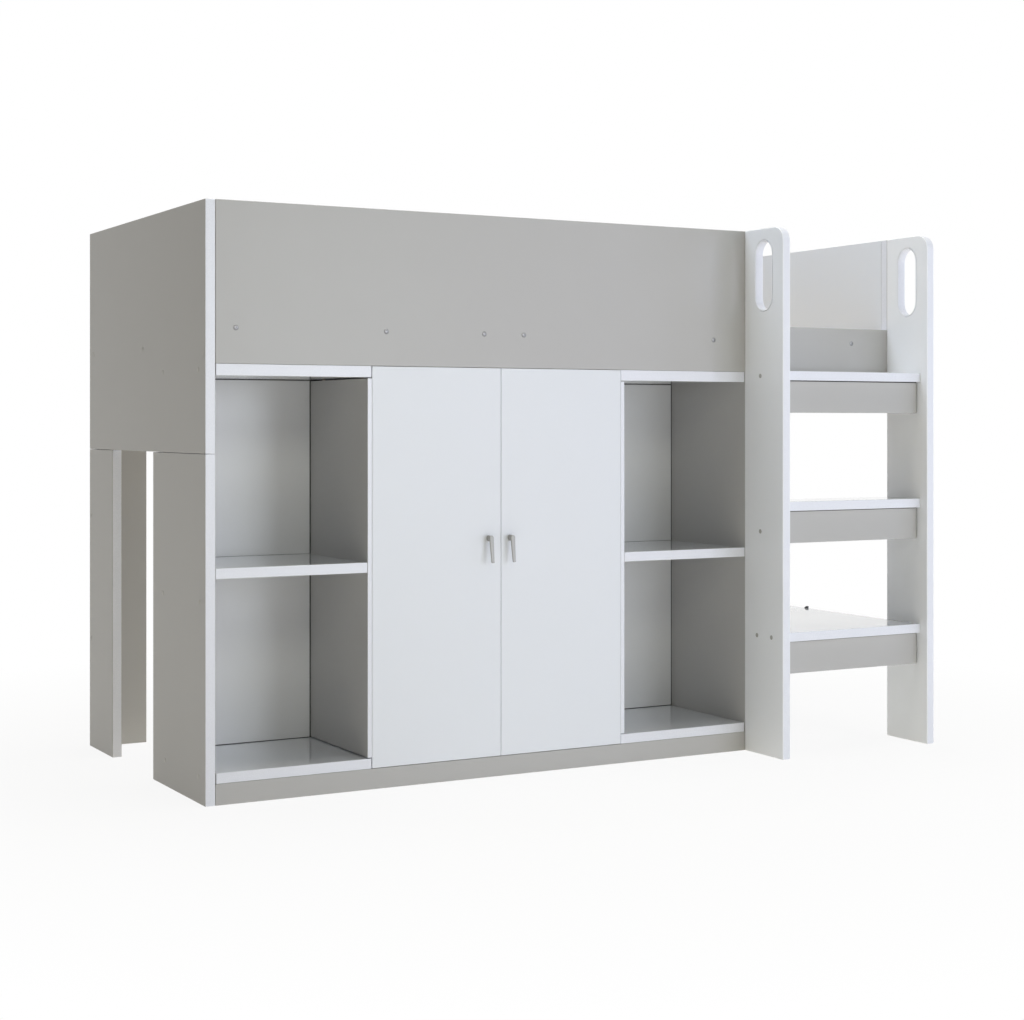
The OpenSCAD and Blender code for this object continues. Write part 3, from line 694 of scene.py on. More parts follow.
def seamless(piece: bpy.types.Object, gap: float = 1e-6, sharp: float = 38.0) -> bpy.types.Object:
    """Merges a form's doubled points, such as its poles, and keeps its smooth shade.

    Args:
        piece: The piece.
        gap: How far apart merged points may be.
        sharp: Angle over which an edge stays sharp, in degrees.

    Returns:
        The same piece.
    """
    work = bmesh.new()
    work.from_mesh(piece.data)
    bmesh.ops.remove_doubles(work, verts=work.verts, dist=gap)
    bmesh.ops.recalc_face_normals(work, faces=work.faces)
    work.to_mesh(piece.data)
    work.free()
    if "custom_normal" in piece.data.attributes:
        piece.data.attributes.remove(piece.data.attributes["custom_normal"])
    piece.data.set_sharp_from_angle(angle=math.radians(sharp))
    return piece


def solid_boxes(node: str) -> Array:
    """The boxes of a node's separate solids.

    Points at one place are one point. Each takes the lowest label among its triangles' points
    until nothing changes, so a solid's points end with one label.

    Args:
        node: The frame's node.

    Returns:
        An array of (solid, low or high, axis), in metres, ordered by label.
    """
    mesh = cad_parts[node].data
    points = read(mesh.vertices, "co", 3)
    _, spot = np.unique(np.round(points, 5), axis=0, return_inverse=True)
    spot = spot.reshape(-1)
    triangles = spot[read(mesh.loops, "vertex_index", kind=int).reshape(-1, 3)]
    labels = np.arange(spot.max() + 1)
    while True:
        least = labels[triangles].min(1)
        fresh = labels.copy()
        for corner in range(3):
            np.minimum.at(fresh, triangles[:, corner], least)
        if (fresh == labels).all():
            break
        labels = fresh
    solids = [points[labels[spot] == label] for label in np.unique(labels[spot])]
    return np.array([[solid.min(0), solid.max(0)] for solid in solids])


def place(piece: bpy.types.Object, body: str, slot: str, node: str) -> None:
    """Puts a finished piece on its body in the place of its node.

    Args:
        piece: The piece.
        body: The body that it rides on.
        slot: The record's material slot; not used.
        node: The node that it stands for.
    """
    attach(piece, body)
    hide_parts(node)
    LOG.info("%s on %s: %d faces", piece.name, body, len(piece.data.polygons))


# ---------- boards


@dataclass(frozen=True)
class Coats:
    """Which finish each side of a board has.

    Attributes:
        face: The finish of both wide faces.
        edge: The finish of the edges.
        axis: The axis that the wide faces look along.
        slot: The record's material slot.
        low_face: Another finish for the wide face that looks against the axis, if any.
        lean: Sine of the angle off the board's plane up to which a face is edge band.
    """

    face: Finish
    edge: Finish
    axis: int
    slot: str
    low_face: Finish | None = None
    lean: float = 0.26

    def finishes(self) -> list[Finish]:
        """The finishes, in slot order: wide faces, edges, and the low wide face."""
        return [self.face, self.edge, self.low_face or self.face]

    def pick(self, normals: Array) -> Array:
        """Slot numbers, where a rounded rim belongs to the wide face beside it."""
        along = normals[:, self.axis]
        return np.where(along > self.lean, 0, np.where(along < -self.lean, 2, 1))

    def pick_plain(self, normals: Array) -> Array:
        """Slot numbers of a plate whose wide faces both have the face's finish."""
        return self.pick(normals) % 2

    @staticmethod
    def pick_low(normals: Array) -> Array:
        """Slot numbers of a plate that has the low face's finish all over."""
        return np.full(len(normals), 2)


@dataclass(frozen=True)
class Board:
    """One board, drawn round the box of its node.

    Attributes:
        node: The frame's node that it stands for.
        coats: Its finishes.
        radius: Radius of its edges.
        joint: How far each edge stays back from its place, so that joints show as fine dark lines.
    """

    node: str
    coats: Coats
    radius: float = 0.001
    joint: float = 0.00035

    def build(self, outline: Array | None = None, axis: int | None = None,
              radii: Array | None = None, holes: Sequence[tuple[Array, float]] = (),
              ends: float = 0.0, more: Callable[[Surface], None] | None = None) -> None:
        """Makes the board.

        Args:
            outline: Its outline where that isn't its box's rectangle, with the axes after axis.
            axis: The axis that the outline is carried along, or None for the wide faces' axis.
            radii: Radii of the outline's corners, where they aren't the edges' own.
            holes: Holes through it, as a clockwise outline and its corner radius.
            ends: How far the board stops short at both ends of the axis.
            more: Adds further surface to the same piece.
        """
        low, high = (np.array(corner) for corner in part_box(self.node))
        axis = self.coats.axis if axis is None else axis
        if outline is None:
            outline = rectangle(low[plane_of(axis)], high[plane_of(axis)])
        radii, steps = (self.radius * CORNER, 3) if radii is None else (radii, 10)
        loops = [rounded_loop(drawn_in(outline, self.joint), radii, steps)]
        loops += [rounded_loop(hole, radius, 12) for hole, radius in holes]
        surface = Surface()
        surface.slab(loops, axis, low[axis] + ends, high[axis] - ends, self.radius, self.coats.pick)
        if more is not None:
            more(surface)
        place(surface.mesh_object(self.node + "_board", self.coats.finishes()), "frame", self.coats.slot,
              self.node)


def grey(axis: int, edge: Finish = Finish.WHITE_EDGE, low_face: Finish | None = None) -> Coats:
    """A grey board with its edge bands, its wide faces along an axis."""
    return Coats(Finish.GREY, edge, axis, "grey_board", low_face)


def white(axis: int, slot: str = "white_board") -> Coats:
    """A white board, its wide faces along an axis. Boards that lie flat are polished."""
    return Coats(Finish.POLISHED if axis == 2 else Finish.WHITE, Finish.WHITE_EDGE, axis, slot)


def plain_boards(coats: Coats, *nodes: str) -> None:
    """Makes boards that are no more than their boxes."""
    for node in nodes:
        Board(node, coats).build()


@dataclass
class EndsAndGuards:
    """The two end panels, the guards round the sleeping level and the rear legs.

    Attributes:
        end_joint: How far the left end panel's edges stay back, for its darker joint.
        rail_height: Height of the entry rail.
    """

    end_joint: float = 0.0006
    rail_height: float = 0.127

    def build(self) -> None:
        """Makes every board of the group. The right end panel is white inside."""
        Board("left_end_panel", grey(0), joint=self.end_joint).build()
        plain_boards(grey(0, low_face=Finish.WHITE), "right_end_panel")
        plain_boards(grey(1), "front_guard", "rear_guard")
        for side in ("left", "right"):
            plain_boards(grey(0), f"{side}_leg_side")
            plain_boards(grey(1), f"{side}_leg_back")
        self._entry_rail()

    def _entry_rail(self) -> None:
        """The low rail, with its upstand behind the right upright."""
        low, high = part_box("entry_rail")
        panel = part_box("right_end_panel")[0].x
        top = low.z + self.rail_height
        outline = np.array([
            [low.z, low.x], [top, low.x], [top, panel], [high.z, panel], [high.z, high.x],
            [low.z, high.x],
        ])
        Board("entry_rail", grey(1)).build(outline=outline)


@dataclass
class StorageUnit:
    """The carcass under the bed: sides, top, base, plinths, back, partitions and shelves.

    Attributes:
        lip: Width of each partition's front strip beside the doors.
        doorway_depth: How far top, base and partitions are cut back behind the doors.
        groove: Shadow gap between the partitions and the back panel.
        partition_gap: Shadow gap at the partitions' ends.
        top_gap: Shadow gap at the ends of the top.
        base_gap: Shadow gap at the ends of the base.
        facing: Thickness of the back panel's white facings.
        shade_seams: Width of the painted shade left bare at each facing's sides, and at its top and foot,
            standing for the shade in the corners.
        shelf_shade_seam: Width of the painted shade left bare over each bay's shelf.
        facing_root: How far the facings reach into the core.
        band_over: How far a partition's front band stands over its strip towards the door.
        band_thickness: Thickness of that band.
        band_radii: Radii of its two corners and of the nook behind it.
    """

    lip: float = 0.011
    doorway_depth: float = 0.019
    groove: float = 0.0005
    partition_gap: float = 0.0024
    top_gap: float = 0.000912
    base_gap: float = 0.0018
    facing: float = 0.0006
    shade_seams: tuple[float, float] = (0.0026, 0.0018)
    shelf_shade_seam: float = 0.0004
    facing_root: float = 0.0005
    band_over: float = 0.0006
    band_thickness: float = 0.0013
    band_radii: tuple[float, float, float] = (0.0003, 0.0002, 0.0001)

    def build(self) -> None:
        """Makes every board of the unit."""
        plain_boards(grey(0), "storage_left_side", "storage_right_side")
        plain_boards(grey(1, Finish.GREY_EDGE), "front_plinth", "rear_plinth")
        plain_boards(white(2), "left_bay_shelf", "right_bay_shelf", "cupboard_shelf")
        self._back()
        self._notched("storage_top", self.top_gap)
        self._notched("storage_base", self.base_gap)
        for node, door_side in (("left_partition", 1), ("right_partition", -1)):
            self._partition(node, door_side)

    def _back(self) -> None:
        """The back panel: a full core whose front is painted shade, with a white facing in each
        compartment.
        The facings stop short all round, so that the painted shade shows as a dark line in every corner."""
        low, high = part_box("storage_back")
        left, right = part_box("left_partition"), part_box("right_partition")
        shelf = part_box("left_bay_shelf")
        side_shade_seam, end_shade_seam = self.shade_seams
        foot, head = low.z + end_shade_seam, high.z - end_shade_seam
        rooms = [(left[1].x, right[0].x, foot, head)]
        for start, end in ((low.x, left[0].x), (right[1].x, high.x)):
            rooms += [(start, end, foot, shelf[0].z), (start, end, shelf[1].z + self.shelf_shade_seam, head)]
        coats = Coats(Finish.BACK, Finish.WHITE_EDGE, 1, "grey_board", Finish.CORE)
        surface = Surface()
        front = low.y + self.facing
        sunk = front + self.facing_root
        # The core's front is near-black painted shade, which shows where the facings stop short
        surface.block((low.x, front, low.z), high, 1, CRISP, SOFT, coats.pick)
        for start, end, foot, head in rooms:
            surface.block((start + side_shade_seam, low.y, foot), (end - side_shade_seam, sunk, head), 1,
                          CRISP, CRISP * 2, coats.pick_plain)
        piece = surface.mesh_object("storage_back_board", coats.finishes())
        place(piece, "frame", coats.slot, "storage_back")

    def _notched(self, node: str, gap: float) -> None:
        """Top or base, with its long notch behind the doors and a gap at both ends."""
        low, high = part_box(node)
        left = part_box("left_partition")[0].x + self.lip
        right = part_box("right_partition")[1].x - self.lip
        start, end = low.x + gap, high.x - gap
        behind = low.y + self.doorway_depth
        outline = np.array([
            [start, low.y], [left, low.y], [left, behind], [right, behind], [right, low.y],
            [end, low.y], [end, high.y], [start, high.y],
        ])
        Board(node, white(2)).build(outline=outline)

    def _partition(self, node: str, door_side: int) -> None:
        """A partition, rebated at the front for its door, which is towards +X (1) or -X (-1)."""
        low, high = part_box(node)
        outer, inner = (low.x, high.x) if door_side > 0 else (high.x, low.x)
        step = outer + door_side * self.lip
        over = step + door_side * self.band_over
        band, behind, rear = low.y + self.band_thickness, low.y + self.doorway_depth, high.y - self.groove
        outline = np.array([
            [outer, low.y], [over, low.y], [over, band], [step, band], [step, behind],
            [inner, behind], [inner, rear], [outer, rear],
        ])
        radii = np.full(len(outline), SOFT)
        radii[1:4] = self.band_radii
        if door_side < 0:
            outline, radii = outline[::-1], radii[::-1]
        Board(node, grey(0), FINE, 0.0).build(
            outline=outline, axis=2, radii=radii, ends=self.partition_gap)


@dataclass
class Handle:
    """A cast handle: a lever that hangs from an oval post and leans out to its tip.

    Attributes:
        post: Half width of the post.
        post_tall: The post's height over its width.
        post_length: From the door to the lever's inner face.
        thickness: Thickness of the lever at its head.
        thin_end: Share of that thickness left at the head's rounded end.
        taper: Share of the thickness lost along the lever.
        lean: How far the lever's tip stands further out than its head.
        lean_power: Power of the lean along the lever: over 1, it starts late.
        section: Power of the superellipse that the lever's section is.
        closing: Power of the thinning towards the rounded ends.
        tip_thinning: Share of the thickness squared that is lost over the tip's rounding.
        head: The lever's width at its head.
        tip: The lever's width at its tip.
        tip_round: Radius of the tip's corners.
    """

    post: float = 0.0052
    post_tall: float = 1.5
    post_length: float = 0.015
    thickness: float = 0.005
    thin_end: float = 0.45
    taper: float = 0.12
    lean: float = 0.008
    lean_power: float = 1.4
    section: float = 3.0
    closing: float = 0.6
    tip_thinning: float = 0.6
    head: float = 0.0126
    tip: float = 0.0086
    tip_round: float = 0.0022

    def build(self, side: str) -> None:
        """Makes the handle of the left or right door."""
        node = f"{side}_handle"
        low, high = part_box(node)
        surface = Surface()
        self._lever(surface, low, high)
        self._post(surface, ((low.x + high.x) / 2, high.y, high.z - self.post_tall * self.post))
        piece = seamless(surface.mesh_object(node + "_cast", [Finish.HANDLE]))
        place(piece, f"{side}_door", "handle_metal", node)

    def _lever(self, surface: Surface, low: Vector, high: Vector) -> None:
        """Adds the lever.

        With s from 0 at the head to 1 at the tip, the lever's middle line drops evenly and leans
        out by lean times a power of s. A section is a superellipse, whose half width runs from
        the head's to the tip's and closes as a circle's chord over each rounded end.

        Args:
            surface: Where the lever goes.
            low: The handle's lowest corner.
            high: The handle's highest corner.
        """
        length = high.z - low.z
        head, tip = self.head / 2, self.tip / 2
        end_rows, middle_rows, around, hair = 8, 22, 40, 1e-5
        bend = 1 - np.cos(np.linspace(0, np.pi / 2, end_rows))
        s = np.concatenate([bend * head / length, np.linspace(0.1, 0.93, middle_rows),
                            1 - bend * self.tip_round / length])
        s = np.unique(np.round(s, 6))
        drop = s * length
        left = length - drop

        def chord(radius: float, depth: Array) -> Array:
            """Half a circle's chord at a depth, and no limit deeper than its radius."""
            half = np.sqrt(np.maximum(radius**2 - (radius - depth) ** 2, 0))
            return np.where(depth < radius, half, np.inf)

        def lobe(wave: Array) -> Array:
            """The superellipse's share of its half size, for an angle's cosine or sine."""
            return np.sign(wave) * np.abs(wave) ** (2 / self.section)

        body = head + (tip - head) * np.clip((drop - head) / (length - head - tip), 0, 1)
        over_tip = tip - self.tip_round + chord(self.tip_round, left)
        half = np.maximum(np.minimum.reduce([body, chord(head, drop), over_tip]), hair)
        close = np.minimum(1.0, half / body) ** self.closing
        thick = self.thickness / 2 * (self.thin_end + (1 - self.thin_end) * close) * (1 - self.taper * s)
        thick = np.where(half < 2 * hair, hair, thick)
        thinned = np.clip(1 - self.tip_thinning * (1 - left / self.tip_round) ** 2, 0, 1)
        at_tip = self.thickness / 2 * (1 - self.taper) * np.sqrt(thinned)
        thick = np.where(left < self.tip_round, at_tip, thick)
        a = np.linspace(0, 2 * np.pi, around, endpoint=False)
        rows = len(s)
        middle_y = high.y - self.post_length - self.thickness / 2 - self.lean * s**self.lean_power
        points = lifted(2, (low.x + high.x) / 2 + half[:, None] * lobe(np.cos(a)),
                        middle_y[:, None] + thick[:, None] * lobe(np.sin(a)), (high.z - drop)[:, None])
        faces = grid_faces(rows, around)[:, ::-1].tolist()
        faces += [list(range(around)), list(range((rows - 1) * around, rows * around))[::-1]]
        surface.add(points, np.tile([0.0, -1.0, 0.0], (len(points), 1)), faces, first_slot(faces))

    def _post(self, surface: Surface, foot: Point) -> None:
        """Adds the post, which narrows slightly on its way from the door."""
        r, reach = self.post, self.post_length + self.thickness / 2
        profile = np.array([
            [0.0, 0.0], [r * 0.96, 0.0], [r * 0.99, 0.0002], [r, 0.0006], [r, 0.004], [r * 0.99, 0.008],
            [r * 0.97, 0.012], [r * 0.95, reach], [0.0, reach],
        ])

        def oval(row: Array, angle: Array) -> Array:
            """An ellipse's radius, for a half width of one and a half height of post_tall."""
            radius = 1 / np.hypot(np.cos(angle) / self.post_tall, np.sin(angle))
            return np.broadcast_to(radius, (len(row), angle.size))

        surface.lathe(profile, foot, 1, -1, 36, oval)


@dataclass
class Doors:
    """The two cupboard doors, with their pockets for the hinges, and their handles.

    Attributes:
        radius: Radius of the doors' edges.
        meeting: How much closer the doors' edge bands meet than their boards do.
        closing: The same at their outer edges.
        rising: The same at their tops and feet.
        pin: Radius of the hinge pins.
        ears: A pocket for a leaf's ears: its reach past the pin's axis and half its height.
        ear_play: Play in front of the ears.
        leaf: A pocket for a leaf: its reach from the door's edge, half its height and its depth.
        spill: How far the pockets' cutters reach out of the door.
        handle: The handles' form.
    """

    radius: float = 0.001
    meeting: float = 0.0012
    closing: float = 0.0005
    rising: float = 0.0006
    pin: float = 0.0015
    ears: tuple[float, float] = (0.00305, 0.0084)
    ear_play: float = 0.0004
    leaf: tuple[float, float, float] = (0.0381, 0.023, 0.002)
    spill: float = 0.004
    handle: Handle = field(default_factory=Handle)

    def build(self) -> None:
        """Makes doors and handles."""
        for side in ("left", "right"):
            self._door(side)
            self.handle.build(side)

    def _door(self, side: str) -> None:
        """One door: a white board, cut out for its hinge leaves."""
        node = f"{side}_door"
        low, high = (np.array(corner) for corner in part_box(node))
        below, above = (self.closing, self.meeting) if side == "left" else (self.meeting, self.closing)
        low -= np.array([below, 0.0, self.rising])
        high += np.array([above, 0.0, self.rising])
        coats = white(1)
        surface = Surface()
        surface.block(low, high, 1, self.radius, self.radius * CORNER, coats.pick)
        door = surface.mesh_object(node + "_board", coats.finishes())
        self._cut(door, self._pockets(side, low, high))
        self._set_normals(door.data, low, high)
        place(door, node, coats.slot, node)

    def _pockets(self, side: str, low: Array, high: Array) -> bpy.types.Object:
        """Makes the cutter for a door's hinge leaves, two boxes for each.

        Args:
            side: The door's side, left or right.
            low: The door's lowest corner.
            high: The door's highest corner.

        Returns:
            The cutter.
        """
        outer, edge = (-1, low[0]) if side == "left" else (1, high[0])
        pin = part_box(f"{side}_hinge_pins")[0].x + self.pin
        ear_reach, ear_half = self.ears
        leaf_reach, leaf_half, leaf_depth = self.leaf
        hair = 1e-5
        surface = Surface()
        for leaf in solid_boxes(f"{side}_hinge_leaves"):
            level = leaf[:, 2].mean()
            ear_pocket = (pin - outer * ear_reach, leaf[0][1] - self.ear_play, ear_half)
            leaf_pocket = (edge - outer * leaf_reach, high[1] - leaf_depth, leaf_half)
            for inner, front, half in (ear_pocket, leaf_pocket):
                start, end = sorted([edge + outer * self.spill, inner])
                surface.block((start, front, level - half), (end, high[1] + self.spill, level + half),
                              2, hair, hair, first_slot, 1, 1)
        return surface.mesh_object("pocket_cutter", [Finish.WHITE_EDGE])

    @staticmethod
    def _cut(door: bpy.types.Object, cutter: bpy.types.Object) -> None:
        """Cuts the door, applies the cut and removes the cutter."""
        cut = door.modifiers.new("pockets", "BOOLEAN")
        cut.object, cut.operation, cut.solver = cutter, "DIFFERENCE", "EXACT"
        cut.use_self = True
        bpy.context.view_layer.update()
        depsgraph = bpy.context.evaluated_depsgraph_get()
        result = bpy.data.meshes.new_from_object(door.evaluated_get(depsgraph), depsgraph=depsgraph)
        door.modifiers.clear()
        door.data = result
        bpy.data.objects.remove(cutter)

    def _set_normals(self, mesh: bpy.types.Mesh, low: Array, high: Array) -> None:
        """Sets a door's normals: a point of the rounded skin looks away from the nearest point of
        the box that lies one radius inside the door, and all others look along their faces. The
        skin's normals lie near their faces', which tells it from the pockets.

        Args:
            mesh: The door's mesh.
            low: The door's lowest corner.
            high: The door's highest corner.
        """
        points = read(mesh.vertices, "co", 3)[read(mesh.loops, "vertex_index", kind=int)]
        inside = self.radius * CORNER
        away = points - np.clip(points, low + inside, high - inside)
        length = np.linalg.norm(away, axis=1)
        corners = read(mesh.polygons, "loop_total", kind=int)
        faces = np.repeat(read(mesh.polygons, "normal", 3), corners, 0)
        along_axis, near_face, none = 0.999, 0.75, 1e-7
        flat = np.abs(faces).max(1) > along_axis
        skin = ~flat & (length > none) & ((away * faces).sum(1) > near_face * length)
        normals = np.where(skin[:, None], away / np.maximum(length, none)[:, None], faces)
        mesh.normals_split_custom_set(normals.tolist())


@dataclass
class Ladder:
    """Uprights with their grip slots, treads, risers and the lower deck.

    Attributes:
        corner: Radius of the uprights' top front corner.
        slot_width: Width of a grip slot.
        slot_length: Length of a grip slot.
        slot_from_top: Wood left above a grip slot.
        rim: Radius of the uprights' rims.
        band: Thickness of the edge band in a grip slot.
        band_gap: Fine gap round that band.
        riser_gap: Shadow gap at the risers' ends.
        riser_shade_strip: Height of the painted shade along a riser's top, under its tread.
        shade_strip_back: How far that painted shade lies behind the riser's faces.
    """

    corner: float = 0.040
    slot_width: float = 0.075
    slot_length: float = 0.188
    slot_from_top: float = 0.033
    rim: float = 0.0022
    band: float = 0.0016
    band_gap: float = 0.0008
    riser_gap: float = 0.0026
    riser_shade_strip: float = 0.0024
    shade_strip_back: float = 0.0008

    def build(self) -> None:
        """Makes every board of the ladder."""
        for node in ("ladder_left_upright", "ladder_right_upright"):
            self._upright(node)
        plain_boards(white(2), "top_tread", "middle_tread", "lower_deck")
        for node in ("top_riser", "middle_riser", "lower_riser"):
            self._riser(node)
        plain_boards(white(0, "grey_board"), "deck_batten")

    def _riser(self, node: str) -> None:
        """One riser: a grey board, with a strip of painted shade along its top, under its tread."""
        low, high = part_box(node)
        left, right, head = low.x + self.riser_gap, high.x - self.riser_gap, high.z - self.riser_shade_strip
        coats = grey(1, Finish.GREY_EDGE, Finish.CORE)
        back = self.shade_strip_back
        surface = Surface()
        surface.block((left, low.y, low.z), (right, high.y, head), 1, FINE, SOFT, coats.pick_plain)
        # A near-black strip on the riser's top: painted shade under the tread's overhang
        surface.block((left, low.y + back, head - back), (right, high.y - back, high.z), 1,
                      CRISP, CRISP, coats.pick_low)
        place(surface.mesh_object(node + "_board", coats.finishes()), "frame", coats.slot, node)

    def _upright(self, node: str) -> None:
        """One upright, with a large arc at its top front corner and a slot through it."""
        low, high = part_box(node)
        small = self.rim * CORNER
        middle = (low.y + high.y) / 2
        centre = high.z - self.slot_from_top - self.slot_length / 2
        coats = Coats(Finish.LACQUER, Finish.WHITE_EDGE, 0, "white_board")
        almost = 0.9995

        def oblong(grow: float) -> tuple[Array, float]:
            """The slot's outline, grown on all sides, and the radius of its almost round ends."""
            wide, tall = self.slot_width / 2 + grow, self.slot_length / 2 + grow
            outline = rectangle((middle - wide, centre - tall), (middle + wide, centre + tall))
            return outline, wide * almost

        def ring(surface: Surface) -> None:
            """The slot's edge band, a thin ring as deep as the upright."""
            (outer, outer_radius), (inner, inner_radius) = oblong(self.band), oblong(0.0)
            loops = [rounded_loop(outer, outer_radius, 12), rounded_loop(inner[::-1], inner_radius, 12)]
            surface.slab(loops, 0, low.x, high.x, self.band * 0.3, coats.pick)

        hole, radius = oblong(self.band + self.band_gap)
        Board(node, coats, self.rim, 0.0).build(
            outline=rectangle((low.y, low.z), (high.y, high.z)),
            radii=np.array([small, small, small, self.corner]), holes=[(hole[::-1], radius)], more=ring,
        )


@dataclass
class MattressSupport:
    """Cleats, centre beam and slats of softwood.

    Attributes:
        eased: Radius of the timbers' edges.
    """

    eased: float = 0.0025

    def build(self) -> None:
        """Makes the timbers and the row of slats."""
        coats = Coats(Finish.CLEAT_PINE, Finish.CLEAT_PINE, 1, "pine")
        for node in ("front_cleat", "centre_beam", "rear_cleat"):
            Board(node, coats, self.eased).build()
        coats = Coats(Finish.SLAT_PINE, Finish.SLAT_PINE, 2, "pine")
        surface = Surface()
        for low, high in solid_boxes("slats"):
            surface.block(low, high, 2, self.eased, self.eased * CORNER, coats.pick)
        place(surface.mesh_object("slat_row", coats.finishes()), "frame", coats.slot, "slats")


@dataclass
class Fixings:
    """Caps, bolt heads, screws and the other small parts.

    Attributes:
        cap_dome: How far a cap's middle rises over its rim.
        cap_rim: Radius of a cap's rim.
        socket: Half the bolts' hexagon socket across its flats.
        socket_depth: Depth of that socket.
        shank: Radius of the bolts' shanks.
        wedge: Width, length and height of the small wedge on the deck's right edge.
    """

    cap_dome: float = 0.00025
    cap_rim: float = 0.00035
    socket: float = 0.0022
    socket_depth: float = 0.0013
    shank: float = 0.003
    wedge: Point = (0.006, 0.014, 0.006)

    def build(self) -> None:
        """Dresses every small part."""
        self._caps()
        self._bolts()
        self._wedge()
        coat_node("dowels", Finish.DOWEL_PINE)
        steel = ["panel_screws", "slat_screws", "rear_cleat_screws", "guard_bolt_nuts", "shelf_pins",
                 "hinge_arm_screws"]
        for side in ("left", "right"):
            parts = ("hinge_arms", "hinge_leaves", "hinge_pins", "leaf_screws", "handle_screw")
            steel += [f"{side}_{part}" for part in parts]
        for node in steel:
            coat_node(node, Finish.STEEL)

    def _wedge(self) -> None:
        """The small black wedge: upright at its front, sloping down towards the rear."""
        low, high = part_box("deck_edge_block")
        wide, long, tall = self.wedge
        front = (low.y + high.y - long) / 2
        rear_height, ridge = tall / 4, long / 2.5
        outline = np.array([[0, 0], [long, 0], [long, rear_height], [ridge, tall], [0, tall]])
        loop = rounded_loop(outline + (front, low.z), FINE, 6)
        surface = Surface()
        surface.slab([loop], 0, high.x - wide, high.x, FINE, first_slot, 4)
        piece = surface.mesh_object("deck_edge_wedge", [Finish.BLACK])
        place(piece, "frame", "black_plastic", "deck_edge_block")

    def _caps(self) -> None:
        """Round caps: a thin disc with a rounded rim and a slightly domed face. A cap looks to
        the left where it sits on the left end or on the left upright."""
        left_faces = [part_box(node)[0].x for node in ("left_end_panel", "ladder_left_upright")]
        near = 0.01
        t = np.linspace(0, np.pi / 2, 4)
        surface = Surface()
        for low, high in solid_boxes("cover_caps"):
            middle = (low + high) / 2
            radius, rise = (high[1] - low[1]) / 2, high[0] - low[0]
            outward = -1 if min(abs(middle[0] - face) for face in left_faces) < near else 1
            foot = high[0] if outward < 0 else low[0]
            dome, rim = self.cap_dome, self.cap_rim
            profile = np.vstack([
                [[0.0, 0.0], [radius - CRISP, 0.0], [radius, CRISP]],
                np.stack([radius - rim * (1 - np.cos(t)), rise - rim * (1 - np.sin(t)) - dome], 1),
                [[radius * 0.6, rise - dome * 0.35], [radius * 0.3, rise - dome * 0.08], [0.0, rise]],
            ])
            surface.lathe(profile, (foot, middle[1], middle[2]), 0, outward, 28)
        piece = seamless(surface.mesh_object("cap_discs", [Finish.CAP]))
        place(piece, "frame", "grey_plastic", "cover_caps")

    def _bolts(self) -> None:
        """Domed bolts, each with a hexagon socket and its shank."""
        guard_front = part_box("front_guard")[0].y
        foot_rows, dome_rows = 5, 9
        from_rim, to_socket = 0.985, 1.25
        flat = 2 * np.pi / 6

        def socket_shape(row: Array, angle: Array) -> Array:
            """The rows after the dome follow a hexagon: half its flats' width over the cosine of
            the angle from the nearest flat's middle."""
            from_flat = (angle + flat / 2) % flat - flat / 2
            return np.where(row >= foot_rows + dome_rows, 1 / np.cos(from_flat), 1.0)

        surface = Surface()
        for low, high in solid_boxes("guard_bolts"):
            centre = (low + high) / 2
            height, radius = guard_front - low[1], (high[0] - low[0]) / 2
            ball = (radius**2 + height**2) / (2 * height)
            ring = np.linspace(radius * from_rim, self.socket * to_socket, dome_rows)
            dome = np.stack([ring, np.sqrt(ball**2 - ring**2) - (ball - height)], 1)
            top, start = dome[-1, 1], guard_front - high[1]
            floor = top - self.socket_depth
            profile = np.vstack([
                [[0.0, start], [self.shank, start], [self.shank, -0.0001], [radius, 0.0], [radius, 0.0003]],
                dome,
                [[self.socket, top], [self.socket, floor], [0.0, floor]],
            ])
            surface.lathe(profile, (centre[0], guard_front, centre[2]), 1, -1, 36, socket_shape)
        piece = seamless(surface.mesh_object("bolt_heads", [Finish.BOLT]))
        place(piece, "frame", "plated_steel", "guard_bolts")


def coat_node(node: str, finish: Finish) -> None:
    """Gives a node of the frame a finish in place of its plain one.

    Args:
        node: The frame's node.
        finish: The finish.
    """
    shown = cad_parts[node]
    shown.data.materials.clear()
    shown.data.materials.append(finish.material())
    LOG.info("%s keeps its shape, in %s", node, finish.value.name)


# ---------- studio

# The point that most lamps look at, near the bed's middle
MIDDLE = (0.0, -0.3, 0.7)


@dataclass(frozen=True)
class Lamp:
    """A rectangular soft box.

    Attributes:
        name: Its name.
        place: Where it stands.
        aim: The point that it looks at.
        size: Its width and height.
        power: Its power, in watts.
        colour: Its colour, linear.
    """

    name: str
    place: Point
    aim: Point
    size: tuple[float, float]
    power: float
    colour: Colour = (1.0, 1.0, 1.0)

    def build(self) -> None:
        """Makes the lamp."""
        light = bpy.data.lights.new(self.name, "AREA")
        light.shape = "RECTANGLE"
        light.size, light.size_y = self.size
        light.energy = self.power
        light.color = self.colour
        lamp = bpy.data.objects.new(self.name, light)
        lamp.location = self.place
        lamp.rotation_euler = (Vector(self.aim) - Vector(self.place)).to_track_quat("-Z", "Y").to_euler()
        bpy.context.scene.collection.objects.link(lamp)


